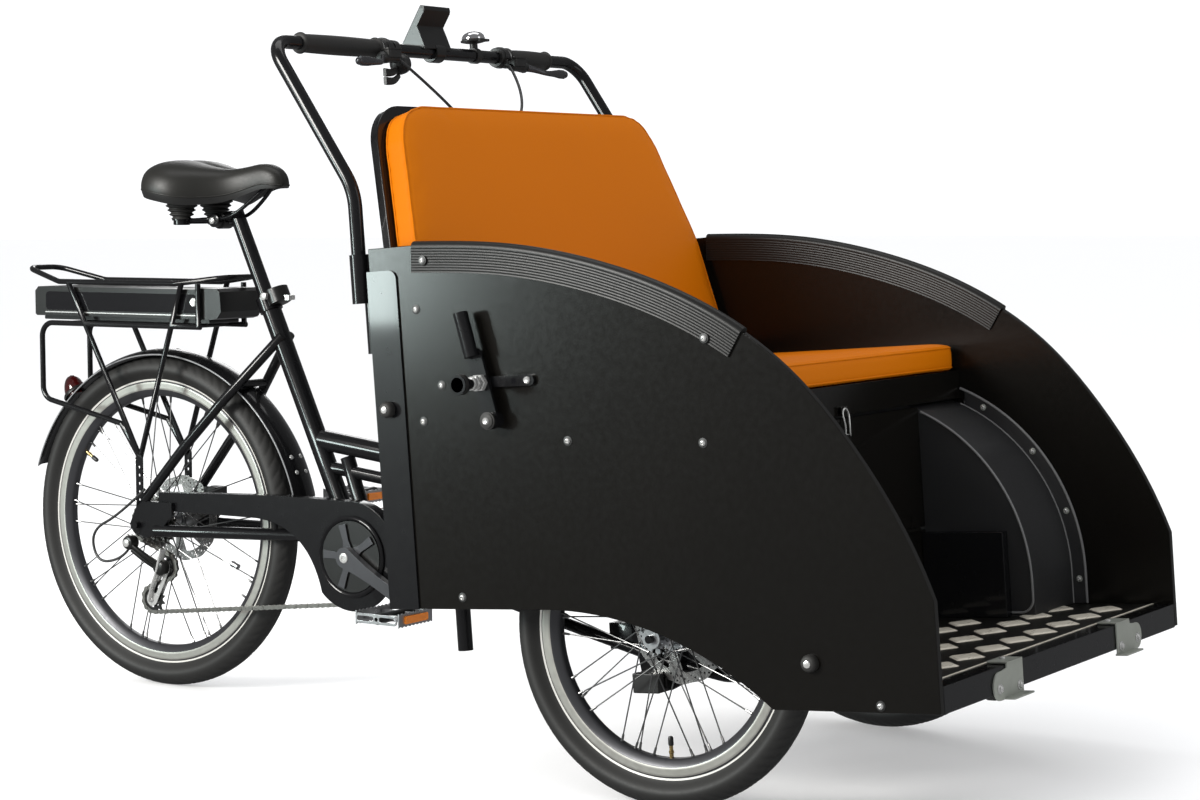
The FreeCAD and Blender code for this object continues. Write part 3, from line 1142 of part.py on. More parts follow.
def chain_case():
    """The cover outboard of the chain: a long bar that swells round the chainring."""
    crank = (-s.crank_setback, s.crank_height)
    radius, rear, neck = s.case_radius, -s.case_rear_x, -s.case_neck_x
    spot = lambda r, turn: (crank[0] + r * math.cos(math.radians(turn)),
                            crank[1] + r * math.sin(math.radians(turn)))
    foot_turn, nose_turn, crown_turn = s.case_foot_angle, s.case_nose_angle, s.case_crown_angle
    piece = body("chain_case")
    outer = sketch(piece, "XZ_Plane", s.case_inner)
    tail_top = s.case_top - radius / 9
    outline(outer, (rear, s.case_foot), (neck, s.case_foot),
            [(neck + radius, s.case_foot - radius / 3), spot(radius, foot_turn)],
            (spot(radius, nose_turn), spot(radius, crown_turn)), (neck + radius / 2, s.case_top),
            (rear, tail_top))
    pad(piece, outer, "case_outer - case_inner")
    inner = sketch(piece, "XZ_Plane", s.case_inner)
    r, beyond = radius - s.case_wall, s.overrun
    far, low = radius + beyond, crank[1] - radius - beyond
    outline(inner, (rear - beyond, s.case_foot - beyond), (crank[0] - far, s.case_foot - radius),
            (crank[0] - far, low), (crank[0] + far, low), spot(far, s.case_mouth_angle),
            spot(r, s.case_mouth_angle), (spot(r, s.case_rise_angle), spot(r, crown_turn)),
            (neck + radius / 2, s.case_top - s.case_wall), (rear - beyond, tail_top - s.case_wall))
    pocket(piece, inner, "case_outer - case_inner - case_wall", reverse=True)
    cover = sketch(piece, "XZ_Plane", s.case_outer)
    ring(cover, crank, "case_cover_radius")
    pad(piece, cover, "case_cover_depth")
    hole = sketch(piece, "XZ_Plane", s.case_inner)
    ring(hole, crank, "crank_boss_radius + pedal_gap")
    pocket(piece, hole, "case_outer", reverse=True)
    keep("chain_case", piece, GROUND)


def rear_fender():
    """A mudguard with a crowned section round the rear wheel."""
    piece = body("rear_fender")
    half, skin = s.fender_width / 2, s.fender_sheet
    top, side = s.fender_radius, s.fender_radius - s.fender_crown
    drawing = sketch(piece, "XY_Plane")
    outline(drawing, (side, -half), ((top, 0), (side, half)), (side - skin, half),
            ((top - skin, 0), (side - skin, -half)))
    arc = turned(piece, drawing)
    bind(arc, Angle="fender_rear_angle - fender_front_angle")
    arc.Reversed = True
    centre = V(-s.wheelbase + s.fender_lead, 0, s.rear_tyre_radius - s.fender_drop)
    piece.Placement = FreeCAD.Placement(centre, FreeCAD.Rotation(ACROSS, -s.fender_front_angle))
    keep("rear_fender", piece, GROUND)


def tail_lamp():
    """A domed lamp on the mudguard."""
    centre = V(-s.wheelbase + s.fender_lead, 0, s.rear_tyre_radius - s.fender_drop)
    turn = math.radians(s.lamp_angle)
    out = V(math.cos(turn), 0, math.sin(turn))
    start = centre + out * (s.fender_radius + s.seat_gap)
    piece = body("tail_lamp")
    drawing = sketch(piece, "XZ_Plane")
    dome = s.lamp_depth - s.lamp_skirt
    bow = (s.lamp_radius * math.sqrt(0.5), s.lamp_skirt + dome * math.sqrt(0.5))
    outline(drawing, (0, 0), (s.lamp_radius, 0), (s.lamp_radius, s.lamp_skirt),
            (bow, (s.bracket_sheet, s.lamp_depth)),
            (0, s.lamp_depth))
    turned(piece, drawing)
    piece.Placement = FreeCAD.Placement(start, FreeCAD.Rotation(UP, out))
    keep("tail_lamp", piece, GROUND)


def rack_plate(y):
    """The drilled plate that the rack stands on beside the dropout."""
    piece = body("rack_plate")
    drawing = sketch(piece, "XZ_Plane", s.rack_tube_radius - s.rack_plate - y)
    half, foot, top = s.rack_plate_half, s.rack_foot_z, s.rack_knee_z
    x = -s.rack_foot_x
    outline(drawing, (x - half, foot), ((x, foot - half), (x + half, foot)), (x + half, top),
            ((x, top + half), (x - half, top)))
    step = (top - foot) / s.rack_plate_holes
    for i in range(int(s.rack_plate_holes)):
        ring(drawing, (x, foot + i * step), "rack_plate_hole_radius")
    pad(piece, drawing, "rack_plate")
    return piece


def rear_rack():
    """The luggage rack: a top loop, a lower loop each side, struts and cross bars."""
    y, level = s.dropout_thickness / 2 + s.seat_gap + s.rack_tube_radius - s.stay_spread, s.rack_level
    kick = level + s.rack_kick
    rail = [V(-s.rack_rear_x, 0, kick), V(-s.rack_rear_x, -s.rack_end_half, kick),
            V(-s.rack_rear_x + s.rack_kick_length, y, level), V(-s.rack_front_x - s.rack_kick_length, y,
                                                                level),
            V(-s.rack_front_x, -s.rack_end_half, level + s.rack_kick / 2),
            V(-s.rack_front_x, 0, level + s.rack_kick / 2)]
    loop = [V(-s.rack_low_front_x, y, s.rack_low_level), V(-s.rack_low_rear_x, y, s.rack_low_level),
            V(-s.rack_low_rear_x, y, s.rack_tail_z), V(-s.rack_tail_end_x, y, s.rack_tail_end_z)]
    knee = V(-s.rack_knee_x, y, s.rack_knee_z)
    sides = [
        tube("rack_rail", rail, [s.rack_bend] * 4, "rack_tube_radius"),
        tube("rack_loop", loop, [s.rack_bend] * 2, "rack_tube_radius"),
        rod("rack_post", loop[0] - V(s.rack_tube_radius, 0, 0),
            V(-s.rack_low_front_x - s.rack_tube_radius, y, level), "rack_tube_radius"),
        rod("rack_rear_strut", V(-s.rack_strut_rear_x, y, level), knee, "rack_tube_radius"),
        rod("rack_front_strut", V(-s.rack_strut_front_x, y, level), knee, "rack_tube_radius"),
        rod("rack_tail", V(-s.rack_tail_end_x, y, s.rack_tail_end_z), knee, "rack_tube_radius"),
        rack_plate(y),
    ]
    half = fuse("rack_half", sides)
    pieces = [half, mirrored("rack_other_half", half)]
    for x in (s.rack_cross_front_x, s.rack_cross_rear_x):
        pieces.append(rod("rack_cross", V(-x, y, s.rack_low_level), V(-x, -y, s.rack_low_level),
                          "rack_cross_radius"))
    keep("rear_rack", fuse("rack_joined", pieces), GROUND)


def battery_case():
    """The battery under the rack's top loop, on its cross bars."""
    piece = body("battery_case")
    rear, front = -s.battery_rear_x, s.battery_length - s.battery_rear_x
    foot = s.rack_low_level + s.rack_cross_radius + s.seat_gap
    top, cut_back, nose = foot + s.battery_height, s.battery_chamfer, s.battery_nose
    step, drop = s.battery_step, s.battery_drop
    bow = nose * (1 - math.sqrt(0.5))
    drawing = sketch(piece, "XZ_Plane")
    outline(drawing, (rear + nose, foot), (front - cut_back, foot), (front, foot + cut_back),
            (front, top - drop),
            (front - step + cut_back, top - drop), (front - step, top), (rear + cut_back, top),
            (rear, top - cut_back),
            (rear, foot + nose), ((rear + bow, foot + bow), (rear + nose, foot)))
    pad(piece, drawing, "battery_width", both=True)
    keep("battery_case", piece, GROUND)


def rear_caliper():
    """The caliper across the rear brake disc."""
    turn = math.radians(s.rear_caliper_angle)
    disc_y = s.hub_disc_length + s.seat_gap + s.disc_thickness / 2
    reach = s.disc_radius * math.cos(turn) + s.caliper_drop / 2
    centre = V(-s.wheelbase + reach, 0, s.rear_tyre_radius + s.disc_radius * math.sin(turn))
    outer_y = s.stay_spread - s.dropout_thickness / 2 - s.seat_gap
    corner = centre + V(-s.caliper_height / 2, outer_y - s.caliper_width, -s.caliper_length / 2)
    outer = block("rear_caliper_block", corner, "caliper_height", "caliper_width", "caliper_length")
    slot_end = s.disc_radius + 2 * s.seat_gap - reach
    slot = block("rear_caliper_slot",
                 centre + V(slot_end - 2 * s.disc_radius, disc_y - s.caliper_slot / 2, -s.caliper_length),
                 "disc_radius * 2", "caliper_slot", "2 * caliper_length")
    keep("rear_brake_caliper", cut("rear_caliper_cut", outer, slot), GROUND)


def belt(circles):
    """A closed path round circles (x, z, radius, sense); a circle of sense -1 is passed on its far side."""
    count = len(circles)
    leaves, meets = [], []
    for i, (ax, az, ra, sa) in enumerate(circles):
        bx, bz, rb, sb = circles[(i + 1) % count]
        dx, dz = bx - ax, bz - az
        gap = math.hypot(dx, dz)
        lean = (sa * ra - sb * rb) / gap
        level = math.sqrt(1 - lean * lean)
        nx, nz = (lean * dx + level * dz) / gap, (lean * dz - level * dx) / gap
        leaves.append(V(ax + sa * ra * nx, 0, az + sa * ra * nz))
        meets.append(V(bx + sb * rb * nx, 0, bz + sb * rb * nz))
    edges = []
    for i, (x, z, radius, sense) in enumerate(circles):
        start, end = meets[i - 1], leaves[i]
        first = math.atan2(start.z - z, start.x - x)
        turn = (math.atan2(end.z - z, end.x - x) - first) % (2 * math.pi)
        if sense < 0:
            turn -= 2 * math.pi
        half = first + turn / 2
        middle = V(x + radius * math.cos(half), 0, z + radius * math.sin(half))
        edges += [Part.Arc(start, middle, end).toShape(), Part.makeLine(end, meets[i])]
    return Part.Wire(edges)


def drive_chain():
    """The chain as one band round the chainring, the cog in use and the two pulleys."""
    lift = s.run_gap + s.chain_height / 2
    drop = (s.cassette_radius - s.cassette_small_radius) / (s.cog_count - 1)
    cog = s.cassette_radius - s.chain_cog * drop
    path = belt([(-s.crank_setback, s.crank_height, s.ring_radius + lift, 1),
                 (-s.wheelbase, s.rear_tyre_radius, cog + lift, 1),
                 (-s.pulley_high_x, s.pulley_high_z, s.pulley_radius + lift, -1),
                 (-s.pulley_low_x, s.pulley_low_z, s.pulley_radius + lift, 1)])
    piece = doc.addObject("Part::Feature", "drive_chain")
    reach = s.chain_height / 2
    band = Part.Face(path.makeOffset2D(reach)).cut(Part.Face(path.makeOffset2D(-reach)))
    solid = band.extrude(V(0, s.chain_width, 0)).Solids[0]
    solid.translate(V(0, -chain_line() - s.chain_width / 2, 0))
    piece.Shape = solid
    keep("drive_chain", piece, GROUND)


# Where the derailleur's link leaves its knuckle, as a share of the knuckle's length
LINK_ROOT_SHARE = 0.7


def rear_derailleur():
    """The derailleur: a knuckle on the dropout, a linkage, and a cage with two pulleys."""
    y = -chain_line()
    high, low = V(-s.pulley_high_x, y, s.pulley_high_z), V(-s.pulley_low_x, y, s.pulley_low_z)
    half = ACROSS * (s.chain_width / 2 + s.run_gap)
    pieces = []
    for place in (high, low):
        pieces.append(rod("pulley", place - ACROSS * (s.pulley_width / 2),
                          place + ACROSS * (s.pulley_width / 2), "pulley_radius"))
        pieces.append(rod("pulley_pin", place - half - ACROSS * s.cage_thickness,
                          place + half + ACROSS * s.cage_thickness, "pedal_axle_radius"))
    along = (high - low).normalize()
    side = V(along.z, 0, -along.x) * s.cage_radius
    for sign in (-1, 1):
        plate = body("cage_plate")
        clear = s.chain_width / 2 + s.run_gap
        face = clear - y if sign < 0 else -y - clear - s.cage_thickness
        drawing = sketch(plate, "XZ_Plane", face)
        flat = lambda p: (p.x, p.z)
        tip = along * s.cage_radius
        outline(drawing, flat(low + side), flat(high + side), (flat(high + tip), flat(high - side)),
                flat(low - side),
                (flat(low - tip), flat(low + side)))
        pad(plate, drawing, "cage_thickness")
        pieces.append(plate)
    outer = -s.stay_spread - s.dropout_thickness / 2 - s.seat_gap
    knuckle = V(-s.knuckle_x, outer, s.knuckle_z)
    pieces.append(rod("knuckle", knuckle, knuckle - ACROSS * s.knuckle_length, "knuckle_radius"))
    start = knuckle - ACROSS * (s.knuckle_length * LINK_ROOT_SHARE)
    end = V(-s.pulley_high_x, -s.link_offset, s.pulley_high_z)
    pieces.append(rod("link", start, end, "knuckle_radius - chain_height / 2"))
    pieces.append(rod("link_foot", end - ACROSS * (s.knuckle_radius / 2),
                      V(high.x, (high - half).y, high.z), "cage_radius - cage_thickness"))
    keep("rear_derailleur", fuse("derailleur_joined", pieces), GROUND)


def crank_set():
    """The spindle, both cranks with their pedal axles, and the chainring."""
    crank = V(-s.crank_setback, 0, s.crank_height)
    turn = math.radians(s.crank_angle)
    along = V(math.cos(turn), 0, -math.sin(turn))
    outer = s.crank_arm_offset + s.crank_arm_width / 2
    pieces = [rod("spindle", crank - ACROSS * outer, crank + ACROSS * outer, "spindle_radius")]
    for side in (-1, 1):
        reach = along * -side
        arm = body("crank_arm")
        drawing = sketch(arm, "XZ_Plane", -side * s.crank_arm_offset - s.crank_arm_width / 2)
        flat = lambda p: (p.x, p.z)
        eye = crank + reach * s.crank_length
        across = V(reach.z, 0, -reach.x)
        big, small = s.crank_boss_radius, s.crank_end_radius
        outline(drawing, flat(crank + across * big), flat(eye + across * small),
                (flat(eye + reach * small), flat(eye - across * small)),
                flat(crank - across * big), (flat(crank - reach * big), flat(crank + across * big)))
        pad(arm, drawing, "crank_arm_width")
        pieces.append(arm)
        start = eye + ACROSS * (side * s.crank_arm_offset)
        span = side * (s.crank_arm_width / 2 + s.pedal_gap + s.pedal_width)
        pieces.append(rod("pedal_axle", start, start + ACROSS * span, "pedal_axle_radius"))
    y = ACROSS * -chain_line()
    disc = rod("chainring", crank + y - ACROSS * (s.ring_width / 2),
               crank + y + ACROSS * (s.ring_width / 2), "ring_radius")
    pieces.append(disc)
    keep("crank_set", fuse("crank_joined", pieces), GROUND)
    for side, name in ((-1, "right"), (1, "left")):
        eye = crank + along * (-side * s.crank_length)
        pedal = body(f"pedal_{name}")
        start = s.crank_arm_offset + s.crank_arm_width / 2 + s.pedal_gap
        drawing = sketch(pedal, "XZ_Plane", start if side < 0 else -start - s.pedal_width)
        half, high, edge = s.pedal_length / 2, s.pedal_height / 2, s.pedal_chamfer
        outline(drawing, (-half, edge - high), (edge - half, -high), (half - edge, -high),
                (half, edge - high),
                (half, high - edge), (half - edge, high), (edge - half, high), (-half, high - edge))
        ring(drawing, (0, 0), "pedal_axle_radius + run_gap")
        pad(pedal, drawing, "pedal_width")
        near, far = (-start - s.pedal_width, -start) if side < 0 else (start, start + s.pedal_width)
        windows = sketch(pedal, "XY_Plane")
        for way in (-1, 1):
            inner, outer = way * s.pedal_spine, way * (half - s.pedal_rim)
            outline(windows, (inner, near + s.pedal_rim), (outer, near + s.pedal_rim),
                    (outer, far - s.pedal_rim),
                    (inner, far - s.pedal_rim))
        pocket(pedal, windows, "2 * pedal_height", both=True)
        recess = sketch(pedal, "YZ_Plane", half)
        middle, wide, deep = (near + far) / 2, s.reflector_width / 2, s.reflector_height / 2
        outline(recess, (middle - wide, -deep), (middle + wide, -deep), (middle + wide, deep),
                (middle - wide, deep))
        pocket(pedal, recess, "reflector_depth")
        pedal.Placement.Base = eye
        keep(f"pedal_{name}", pedal, GROUND)


# Cords: their points are places along the real routes

def cord(name, points, radius):
    """A cable or hose along straight runs joined by arcs that fill 0.45 of the shorter run."""
    places = [V(*p) for p in points]
    bends = []
    for before, corner, after in zip(places, places[1:], places[2:]):
        half = (before - corner).getAngle(after - corner) / 2
        run = min(corner.distanceToPoint(before), corner.distanceToPoint(after))
        bends.append(0.45 * run * math.tan(half))
    print(name, "bend radii", [round(b, 1) for b in bends])
    return tube(name, places, bends, radius)


HOSE_ROUTES = {
    "right_hose": [(-556, -137, 1172), (-500, -108, 1110), (-478, -40, 1040), (-424, -12, 950),
                   (-370, -10, 747), (-314.6, -10, 541)],
    "left_hose": [(-556, 184, 1172), (-500, 150, 1110), (-478, 60, 1040), (-424, 12, 950), (-370, 10, 747),
                  (-314.6, 10, 541)],
}
SHIFT_ROUTE = [(-1270, -84, 372), (-1330, -88, 322), (-1396, -94, 290), (-1380, -96, 232),
               (-1326, -92, 240), (-1309, -90, 258)]


def cords():
    """Brake hoses down the back panel and the shift cable behind the rear axle."""
    pair = doc.addObject("Part::Compound", "hose_pair")
    pair.Links = [cord(name, route, "hose_radius") for name, route in HOSE_ROUTES.items()]
    keep("brake_hoses", pair, BOX)
    keep("shift_cable", cord("shift_cable_run", SHIFT_ROUTE, "hose_radius"), GROUND)


for build in (wheels, side_panel, edge_trim, upright, seat_board, seat_cushion, backrest, wheel_arch,
              foot_boards,
              floor_plate, nose_rail, nose_brackets, front_frame, handlebar, hand_grips, brake_levers,
              display_unit, bell, hood_bracket, front_calipers, main_frame, seat_post, saddle,
              saddle_carrier, motor_unit,
              chain_case, rear_fender, tail_lamp, rear_rack, battery_case, rear_caliper, drive_chain,
              rear_derailleur, crank_set, cords):
    build()

doc.recompute()
faults = [o.Label for o in doc.Objects if "Invalid" in o.State or "Error" in o.State]
for name, piece in NODES.items():
    if piece.Shape.isNull() or not piece.Shape.isValid():
        faults.append(name)
if faults:
    raise SystemExit("faulty: " + ", ".join(faults))
os.makedirs("parts", exist_ok=True)
for name, piece in NODES.items():
    piece.Shape.exportStep(f"parts/{name}.step")
    solids = len(piece.Shape.Solids)
    box = piece.Shape.BoundBox
    print(f"{name:26s} solids {solids} volume {piece.Shape.Volume / 1000:9.1f} cm3 "
          f"x {box.XMin:7.1f} {box.XMax:7.1f} y {box.YMin:7.1f} {box.YMax:7.1f} "
          f"z {box.ZMin:7.1f} {box.ZMax:7.1f}")
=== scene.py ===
# %% [markdown]
# # Dressing a cycle rickshaw
# The CAD model arrives as a fixed frame: it has every part's place and size. This lesson gives the
# parts their looks. Rigid parts keep their CAD shape with softened edges, and what catches the eye
# (tyres, spokes, cushions, chain, levers) is made anew as surfaces worked out with numpy.

# %% Load the frame
import bmesh
import bpy
import json
import math
import numpy as np
from mathutils import Matrix, Vector
from mathutils.bvhtree import BVHTree
from mathutils.geometry import tessellate_polygon

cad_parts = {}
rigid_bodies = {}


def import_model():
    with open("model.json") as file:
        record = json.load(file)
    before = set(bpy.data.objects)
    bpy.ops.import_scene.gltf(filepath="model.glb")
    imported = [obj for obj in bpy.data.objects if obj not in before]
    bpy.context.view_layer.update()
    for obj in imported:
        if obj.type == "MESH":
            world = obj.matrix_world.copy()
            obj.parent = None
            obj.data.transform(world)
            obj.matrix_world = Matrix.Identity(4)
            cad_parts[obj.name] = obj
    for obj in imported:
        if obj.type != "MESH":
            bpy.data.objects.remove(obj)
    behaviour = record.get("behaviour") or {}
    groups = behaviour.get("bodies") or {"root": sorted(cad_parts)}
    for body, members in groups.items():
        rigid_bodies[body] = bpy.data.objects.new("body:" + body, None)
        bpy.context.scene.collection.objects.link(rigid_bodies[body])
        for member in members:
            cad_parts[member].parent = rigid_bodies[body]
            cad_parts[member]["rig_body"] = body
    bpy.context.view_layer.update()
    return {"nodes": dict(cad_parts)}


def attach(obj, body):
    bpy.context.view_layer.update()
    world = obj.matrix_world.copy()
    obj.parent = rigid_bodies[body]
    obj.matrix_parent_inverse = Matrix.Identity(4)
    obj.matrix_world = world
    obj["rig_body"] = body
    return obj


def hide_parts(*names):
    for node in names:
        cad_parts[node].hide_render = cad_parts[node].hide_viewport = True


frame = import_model()

# %% [markdown]
# ## Two ways to say where something is
# The maker measures in millimetres from the ground under the front axle. The passenger box leans
# back by 4.4 degrees, so its pieces are drawn square and turned as one. Two small functions turn
# either kind of place into metres in the frame's own axes.

# %% Places
MM = 0.001
AXLE = 545.655
PITCH = math.radians(4.4)


def array(points):
    """Numbers as a numpy array of floats."""
    return np.asarray(points, dtype=float)


def on_ground(points):
    """Level places: x is moved forward to the front axle, and everything scaled to metres."""
    return (array(points) + (AXLE, 0, 0)) * MM


def in_box(points):
    """Places in the leaning box: x and z are turned by the pitch, then treated as level ones."""
    p = array(points)
    x = p[..., 0] * math.cos(PITCH) - p[..., 2] * math.sin(PITCH)
    z = p[..., 0] * math.sin(PITCH) + p[..., 2] * math.cos(PITCH)
    return on_ground(np.stack([x, p[..., 1], z], -1))


# %% [markdown]
# ## Camera
# The photograph was taken from ahead and to the rickshaw's right, just above the seat's height,
# with a long lens. Its place was found by matching the wheels' axles and the panel's corners. The
# camera's three axes come from its azimuth, elevation and a very small roll.

# %% Camera
AZIMUTH, ELEVATION, ROLL = (math.radians(a) for a in (33.03, 4.36, -0.19))
LENS = 78.81
CAMERA_AT = (2.5517, -3.607, 0.893)


def make_camera():
    """The camera's back axis points from the object to the lens; right is level, and roll turns both."""
    back = Vector((math.sin(AZIMUTH) * math.cos(ELEVATION), -math.cos(AZIMUTH) * math.cos(ELEVATION),
                   math.sin(ELEVATION)))
    right = Vector((math.cos(AZIMUTH), math.sin(AZIMUTH), 0))
    up = back.cross(right)
    side = right * math.cos(ROLL) + up * math.sin(ROLL)
    rise = up * math.cos(ROLL) - right * math.sin(ROLL)
    data = bpy.data.cameras.new("camera")
    data.lens, data.sensor_width = LENS, 36.0
    data.clip_start, data.clip_end = 0.1, 200.0
    camera = bpy.data.objects.new("camera", data)
    camera.matrix_world = Matrix.Translation(CAMERA_AT) @ Matrix((side, rise, back)).transposed().to_4x4()
    bpy.context.scene.collection.objects.link(camera)
    bpy.context.scene.camera = camera
    return camera


print("camera:", make_camera().name)

# %% [markdown]
# ## Shells
# A shell is three arrays: points, faces of four corners, and each face's zone (which of the piece's
# materials it wears). A triangle is a face with a doubled corner. Every shape below is a grid of
# points over two parameters, so one function can close it, weld it and turn it outward.

# %% Shells


def settled(points, faces, zones=0):
    """Welds points closer than a micron, drops faces shrunk to a line, and turns the rest outward.

    The enclosed volume is the sum over faces of a . (b x c + c x d); if it is negative, all faces flip.
    """
    spots, index = np.unique(np.round(points, 3), axis=0, return_inverse=True)
    faces = index.reshape(-1)[faces]
    whole = (faces != np.roll(faces, -1, 1)).sum(1) > 2
    whole &= (faces[:, 0] != faces[:, 2]) & (faces[:, 1] != faces[:, 3])
    zones = np.broadcast_to(zones, whole.shape)[whole]
    faces = faces[whole]
    a, b, c, d = (spots[faces[:, i]] for i in range(4))
    volume = (a * (np.cross(b, c) + np.cross(c, d))).sum()
    return spots, faces if volume > 0 else faces[:, ::-1], zones


def skin(points, around=False, along=False, zones=0):
    """The faces of a grid (rows, columns, 3); around closes its rows and along its columns."""
    rows, columns = points.shape[:2]
    index = np.arange(rows * columns).reshape(rows, columns)
    if along:
        index = np.vstack([index, index[:1]])
    if around:
        index = np.hstack([index, index[:, :1]])
    faces = np.stack([index[:-1, :-1], index[:-1, 1:], index[1:, 1:], index[1:, :-1]], -1)
    if callable(zones):
        zones = zones(points.reshape(-1, 3)[faces.reshape(-1, 4)].mean(1))
    return settled(points.reshape(-1, 3), faces.reshape(-1, 4), zones)


def joined(*shells):
    """Several shells as one, their faces renumbered."""
    starts = np.cumsum([0] + [len(p) for p, f, z in shells])
    faces = [f + start for (p, f, z), start in zip(shells, starts)]
    points, zones = (np.concatenate([shell[i] for shell in shells]) for i in (0, 2))
    return points, np.concatenate(faces), zones


def repeated(shell, turns, shifts):
    """Copies of a shell: copy k is turned by matrix k and moved by shift k."""
    points, faces, zones = shell
    turns, shifts = array(turns), array(shifts)
    count = max(len(turns), len(shifts))
    placed = np.einsum("kij,nj->kni", np.broadcast_to(turns, (count, 3, 3)), points) + shifts[:, None]
    faces = faces[None] + (np.arange(count) * len(points))[:, None, None]
    return placed.reshape(-1, 3), faces.reshape(-1, 4), np.tile(zones, count)


def moved(shell, shift=(0, 0, 0), turn=None, zone=None):
    """The shell turned by a matrix, then moved, and given another zone if one is named."""
    points, faces, zones = shell
    points = points if turn is None else points @ array(turn).T
    return points + array(shift), faces, zones if zone is None else np.full(len(faces), zone)


def mirrored(shell):
    """The shell on the other side of the middle plane: y changes sign, and faces run backward."""
    points, faces, zones = shell
    return points * (1, -1, 1), faces[:, ::-1], zones


def about(axis, degrees):
    """The matrix of a turn about an axis."""
    return array(Matrix.Rotation(math.radians(degrees), 3, Vector(axis)))


def unit(vectors):
    """Vectors scaled to length one."""
    vectors = array(vectors)
    return vectors / np.linalg.norm(vectors, axis=-1, keepdims=True)


def cycle(count):
    """Angles evenly round a full turn, without the last."""
    return np.arange(count) * (2 * math.pi / count)


print("shell helpers ready")

# %% [markdown]
# ## Four ways to make a shell
# Turned: a profile of (along, radius) pairs goes round an axis. Swept: a flat section is carried
# along a path. Plate: an outline with holes is given a thickness. Flowing: a smooth curve through
# a few named places, which the others use as path or profile.

# %% Shapes


def turned(profile, sides=48, origin=(0, 0, 0), axis=(0, 1, 0), closed=False, zones=0):
    """Each profile point goes round the axis: origin + along * axis + radius * (cos * side + sin * rise)."""
    profile, axis = array(profile), unit(axis)
    if not closed:
        ends = profile[[0, -1]] * (1, 0)
        profile = np.vstack([ends[:1], profile, ends[1:]])
    side = unit(np.cross(axis, (0, 0, 1) if abs(axis[2]) < 0.9 else (1, 0, 0)))
    rise = np.cross(axis, side)
    turn = cycle(sides)[:, None]
    rings = np.cos(turn) * side + np.sin(turn) * rise
    points = array(origin) + profile[:, :1, None] * axis + profile[:, 1:, None] * rings
    return skin(points, around=True, along=closed, zones=zones)


def knob(profile, spot, across, sides=32, zones=0):
    """A profile turned outward to the right, from a place (x, z) and how far across it starts."""
    return turned(profile, sides, (spot[0], across, spot[1]), (0, -1, 0), zones=zones)


def swept(path, section, up=(0, 1, 0), scale=1.0, closed=False, zones=0):
    """Each row is the path's point plus the section's two numbers along side = ahead x up and along rise."""
    path, section = array(path), array(section)
    ahead = unit(np.roll(path, -1, 0) - np.roll(path, 1, 0) if closed else np.gradient(path, axis=0))
    side = unit(np.cross(ahead, up))
    rise = np.cross(side, ahead)
    scale = np.broadcast_to(scale, len(path))[:, None, None]
    spread = section[:, :1] * side[:, None] + section[:, 1:] * rise[:, None]
    points = path[:, None] + spread * scale
    if not closed:
        first, last = (np.broadcast_to(path[i], points[:1].shape) for i in (0, -1))
        points = np.concatenate([first, points, last])
    return skin(points, around=True, along=closed, zones=zones)


def ring_section(radius, sides=12, flat=1.0):
    """A round or flattened section."""
    turn = cycle(sides)
    return np.stack([radius * np.cos(turn), radius * flat * np.sin(turn)], -1)


def tube(path, radius, sides=12, up=(0, 1, 0), **more):
    """A round bar along a path."""
    return swept(path, ring_section(radius, sides), up, **more)


def flowing(places, count):
    """A smooth curve through places: a cubic between each two, with slopes that match where they meet.

    The slopes solve a small set of linear equations, as for a bent batten, with each stretch as long
    as its chord.
    """
    places = array(places)
    span = np.linalg.norm(np.diff(places, axis=0), axis=1)
    knots = np.concatenate([[0], np.cumsum(span)])
    size = len(places)
    matrix, right = np.zeros((size, size)), np.zeros(places.shape)
    matrix[0, :2], matrix[-1, -2:] = (2, 1), (1, 2)
    right[0], right[-1] = 3 * (places[1] - places[0]) / span[0], 3 * (places[-1] - places[-2]) / span[-1]
    for i in range(1, size - 1):
        before, after = span[i - 1], span[i]
        matrix[i, i - 1:i + 2] = after, 2 * (before + after), before
        right[i] = 3 * (after * (places[i] - places[i - 1]) / before
                        + before * (places[i + 1] - places[i]) / after)
    slopes = np.linalg.solve(matrix, right)
    at = np.linspace(0, knots[-1], count)
    i = np.clip(np.searchsorted(knots, at, side="right") - 1, 0, size - 2)
    t, h = ((at - knots[i]) / span[i])[:, None], span[i][:, None]
    start, rise, fall = places[i], slopes[i] * h, slopes[i + 1] * h
    bend = places[i + 1] - start
    return start + t * rise + t ** 2 * (3 * bend - 2 * rise - fall) + t ** 3 * (rise + fall - 2 * bend)


def plate(loops, low, high, zones=0):
    """A sheet cut to outlines in x and z, from y = low to y = high; loops after the first are holes."""
    area = lambda p: (p[:, 0] * np.roll(p[:, 1], -1) - np.roll(p[:, 0], -1) * p[:, 1]).sum()
    ways = [(area(array(p)) > 0) == (i == 0) for i, p in enumerate(loops)]
    loops = [array(p) if right_way else array(p)[::-1] for p, right_way in zip(loops, ways)]
    flat = np.concatenate(loops)
    fill = np.array(tessellate_polygon([[Vector((x, z, 0)) for x, z in loop] for loop in loops]))
    a, b, c = (flat[fill[:, i]] for i in range(3))
    cross = (b[:, 0] - a[:, 0]) * (c[:, 1] - a[:, 1]) - (b[:, 1] - a[:, 1]) * (c[:, 0] - a[:, 0])
    fill = np.where((cross > 0)[:, None], fill, fill[:, ::-1])
    front = np.column_stack([fill, fill[:, 2]])
    size, walls, start = len(flat), [], 0
    for loop in loops:
        here = start + np.arange(len(loop))
        ahead = np.roll(here, -1)
        walls.append(np.stack([ahead, here, here + size, ahead + size], -1))
        start += len(loop)
    points = np.concatenate([np.insert(flat, 1, low, axis=1), np.insert(flat, 1, high, axis=1)])
    faces = np.concatenate([front, front[:, ::-1] + size] + walls)
    return settled(points, faces, zones)


def polar(radius, turn, centre=(0, 0)):
    """Flat places at a radius and an angle round a centre."""
    return np.stack([centre[0] + radius * np.cos(turn), centre[1] + radius * np.sin(turn)], -1)


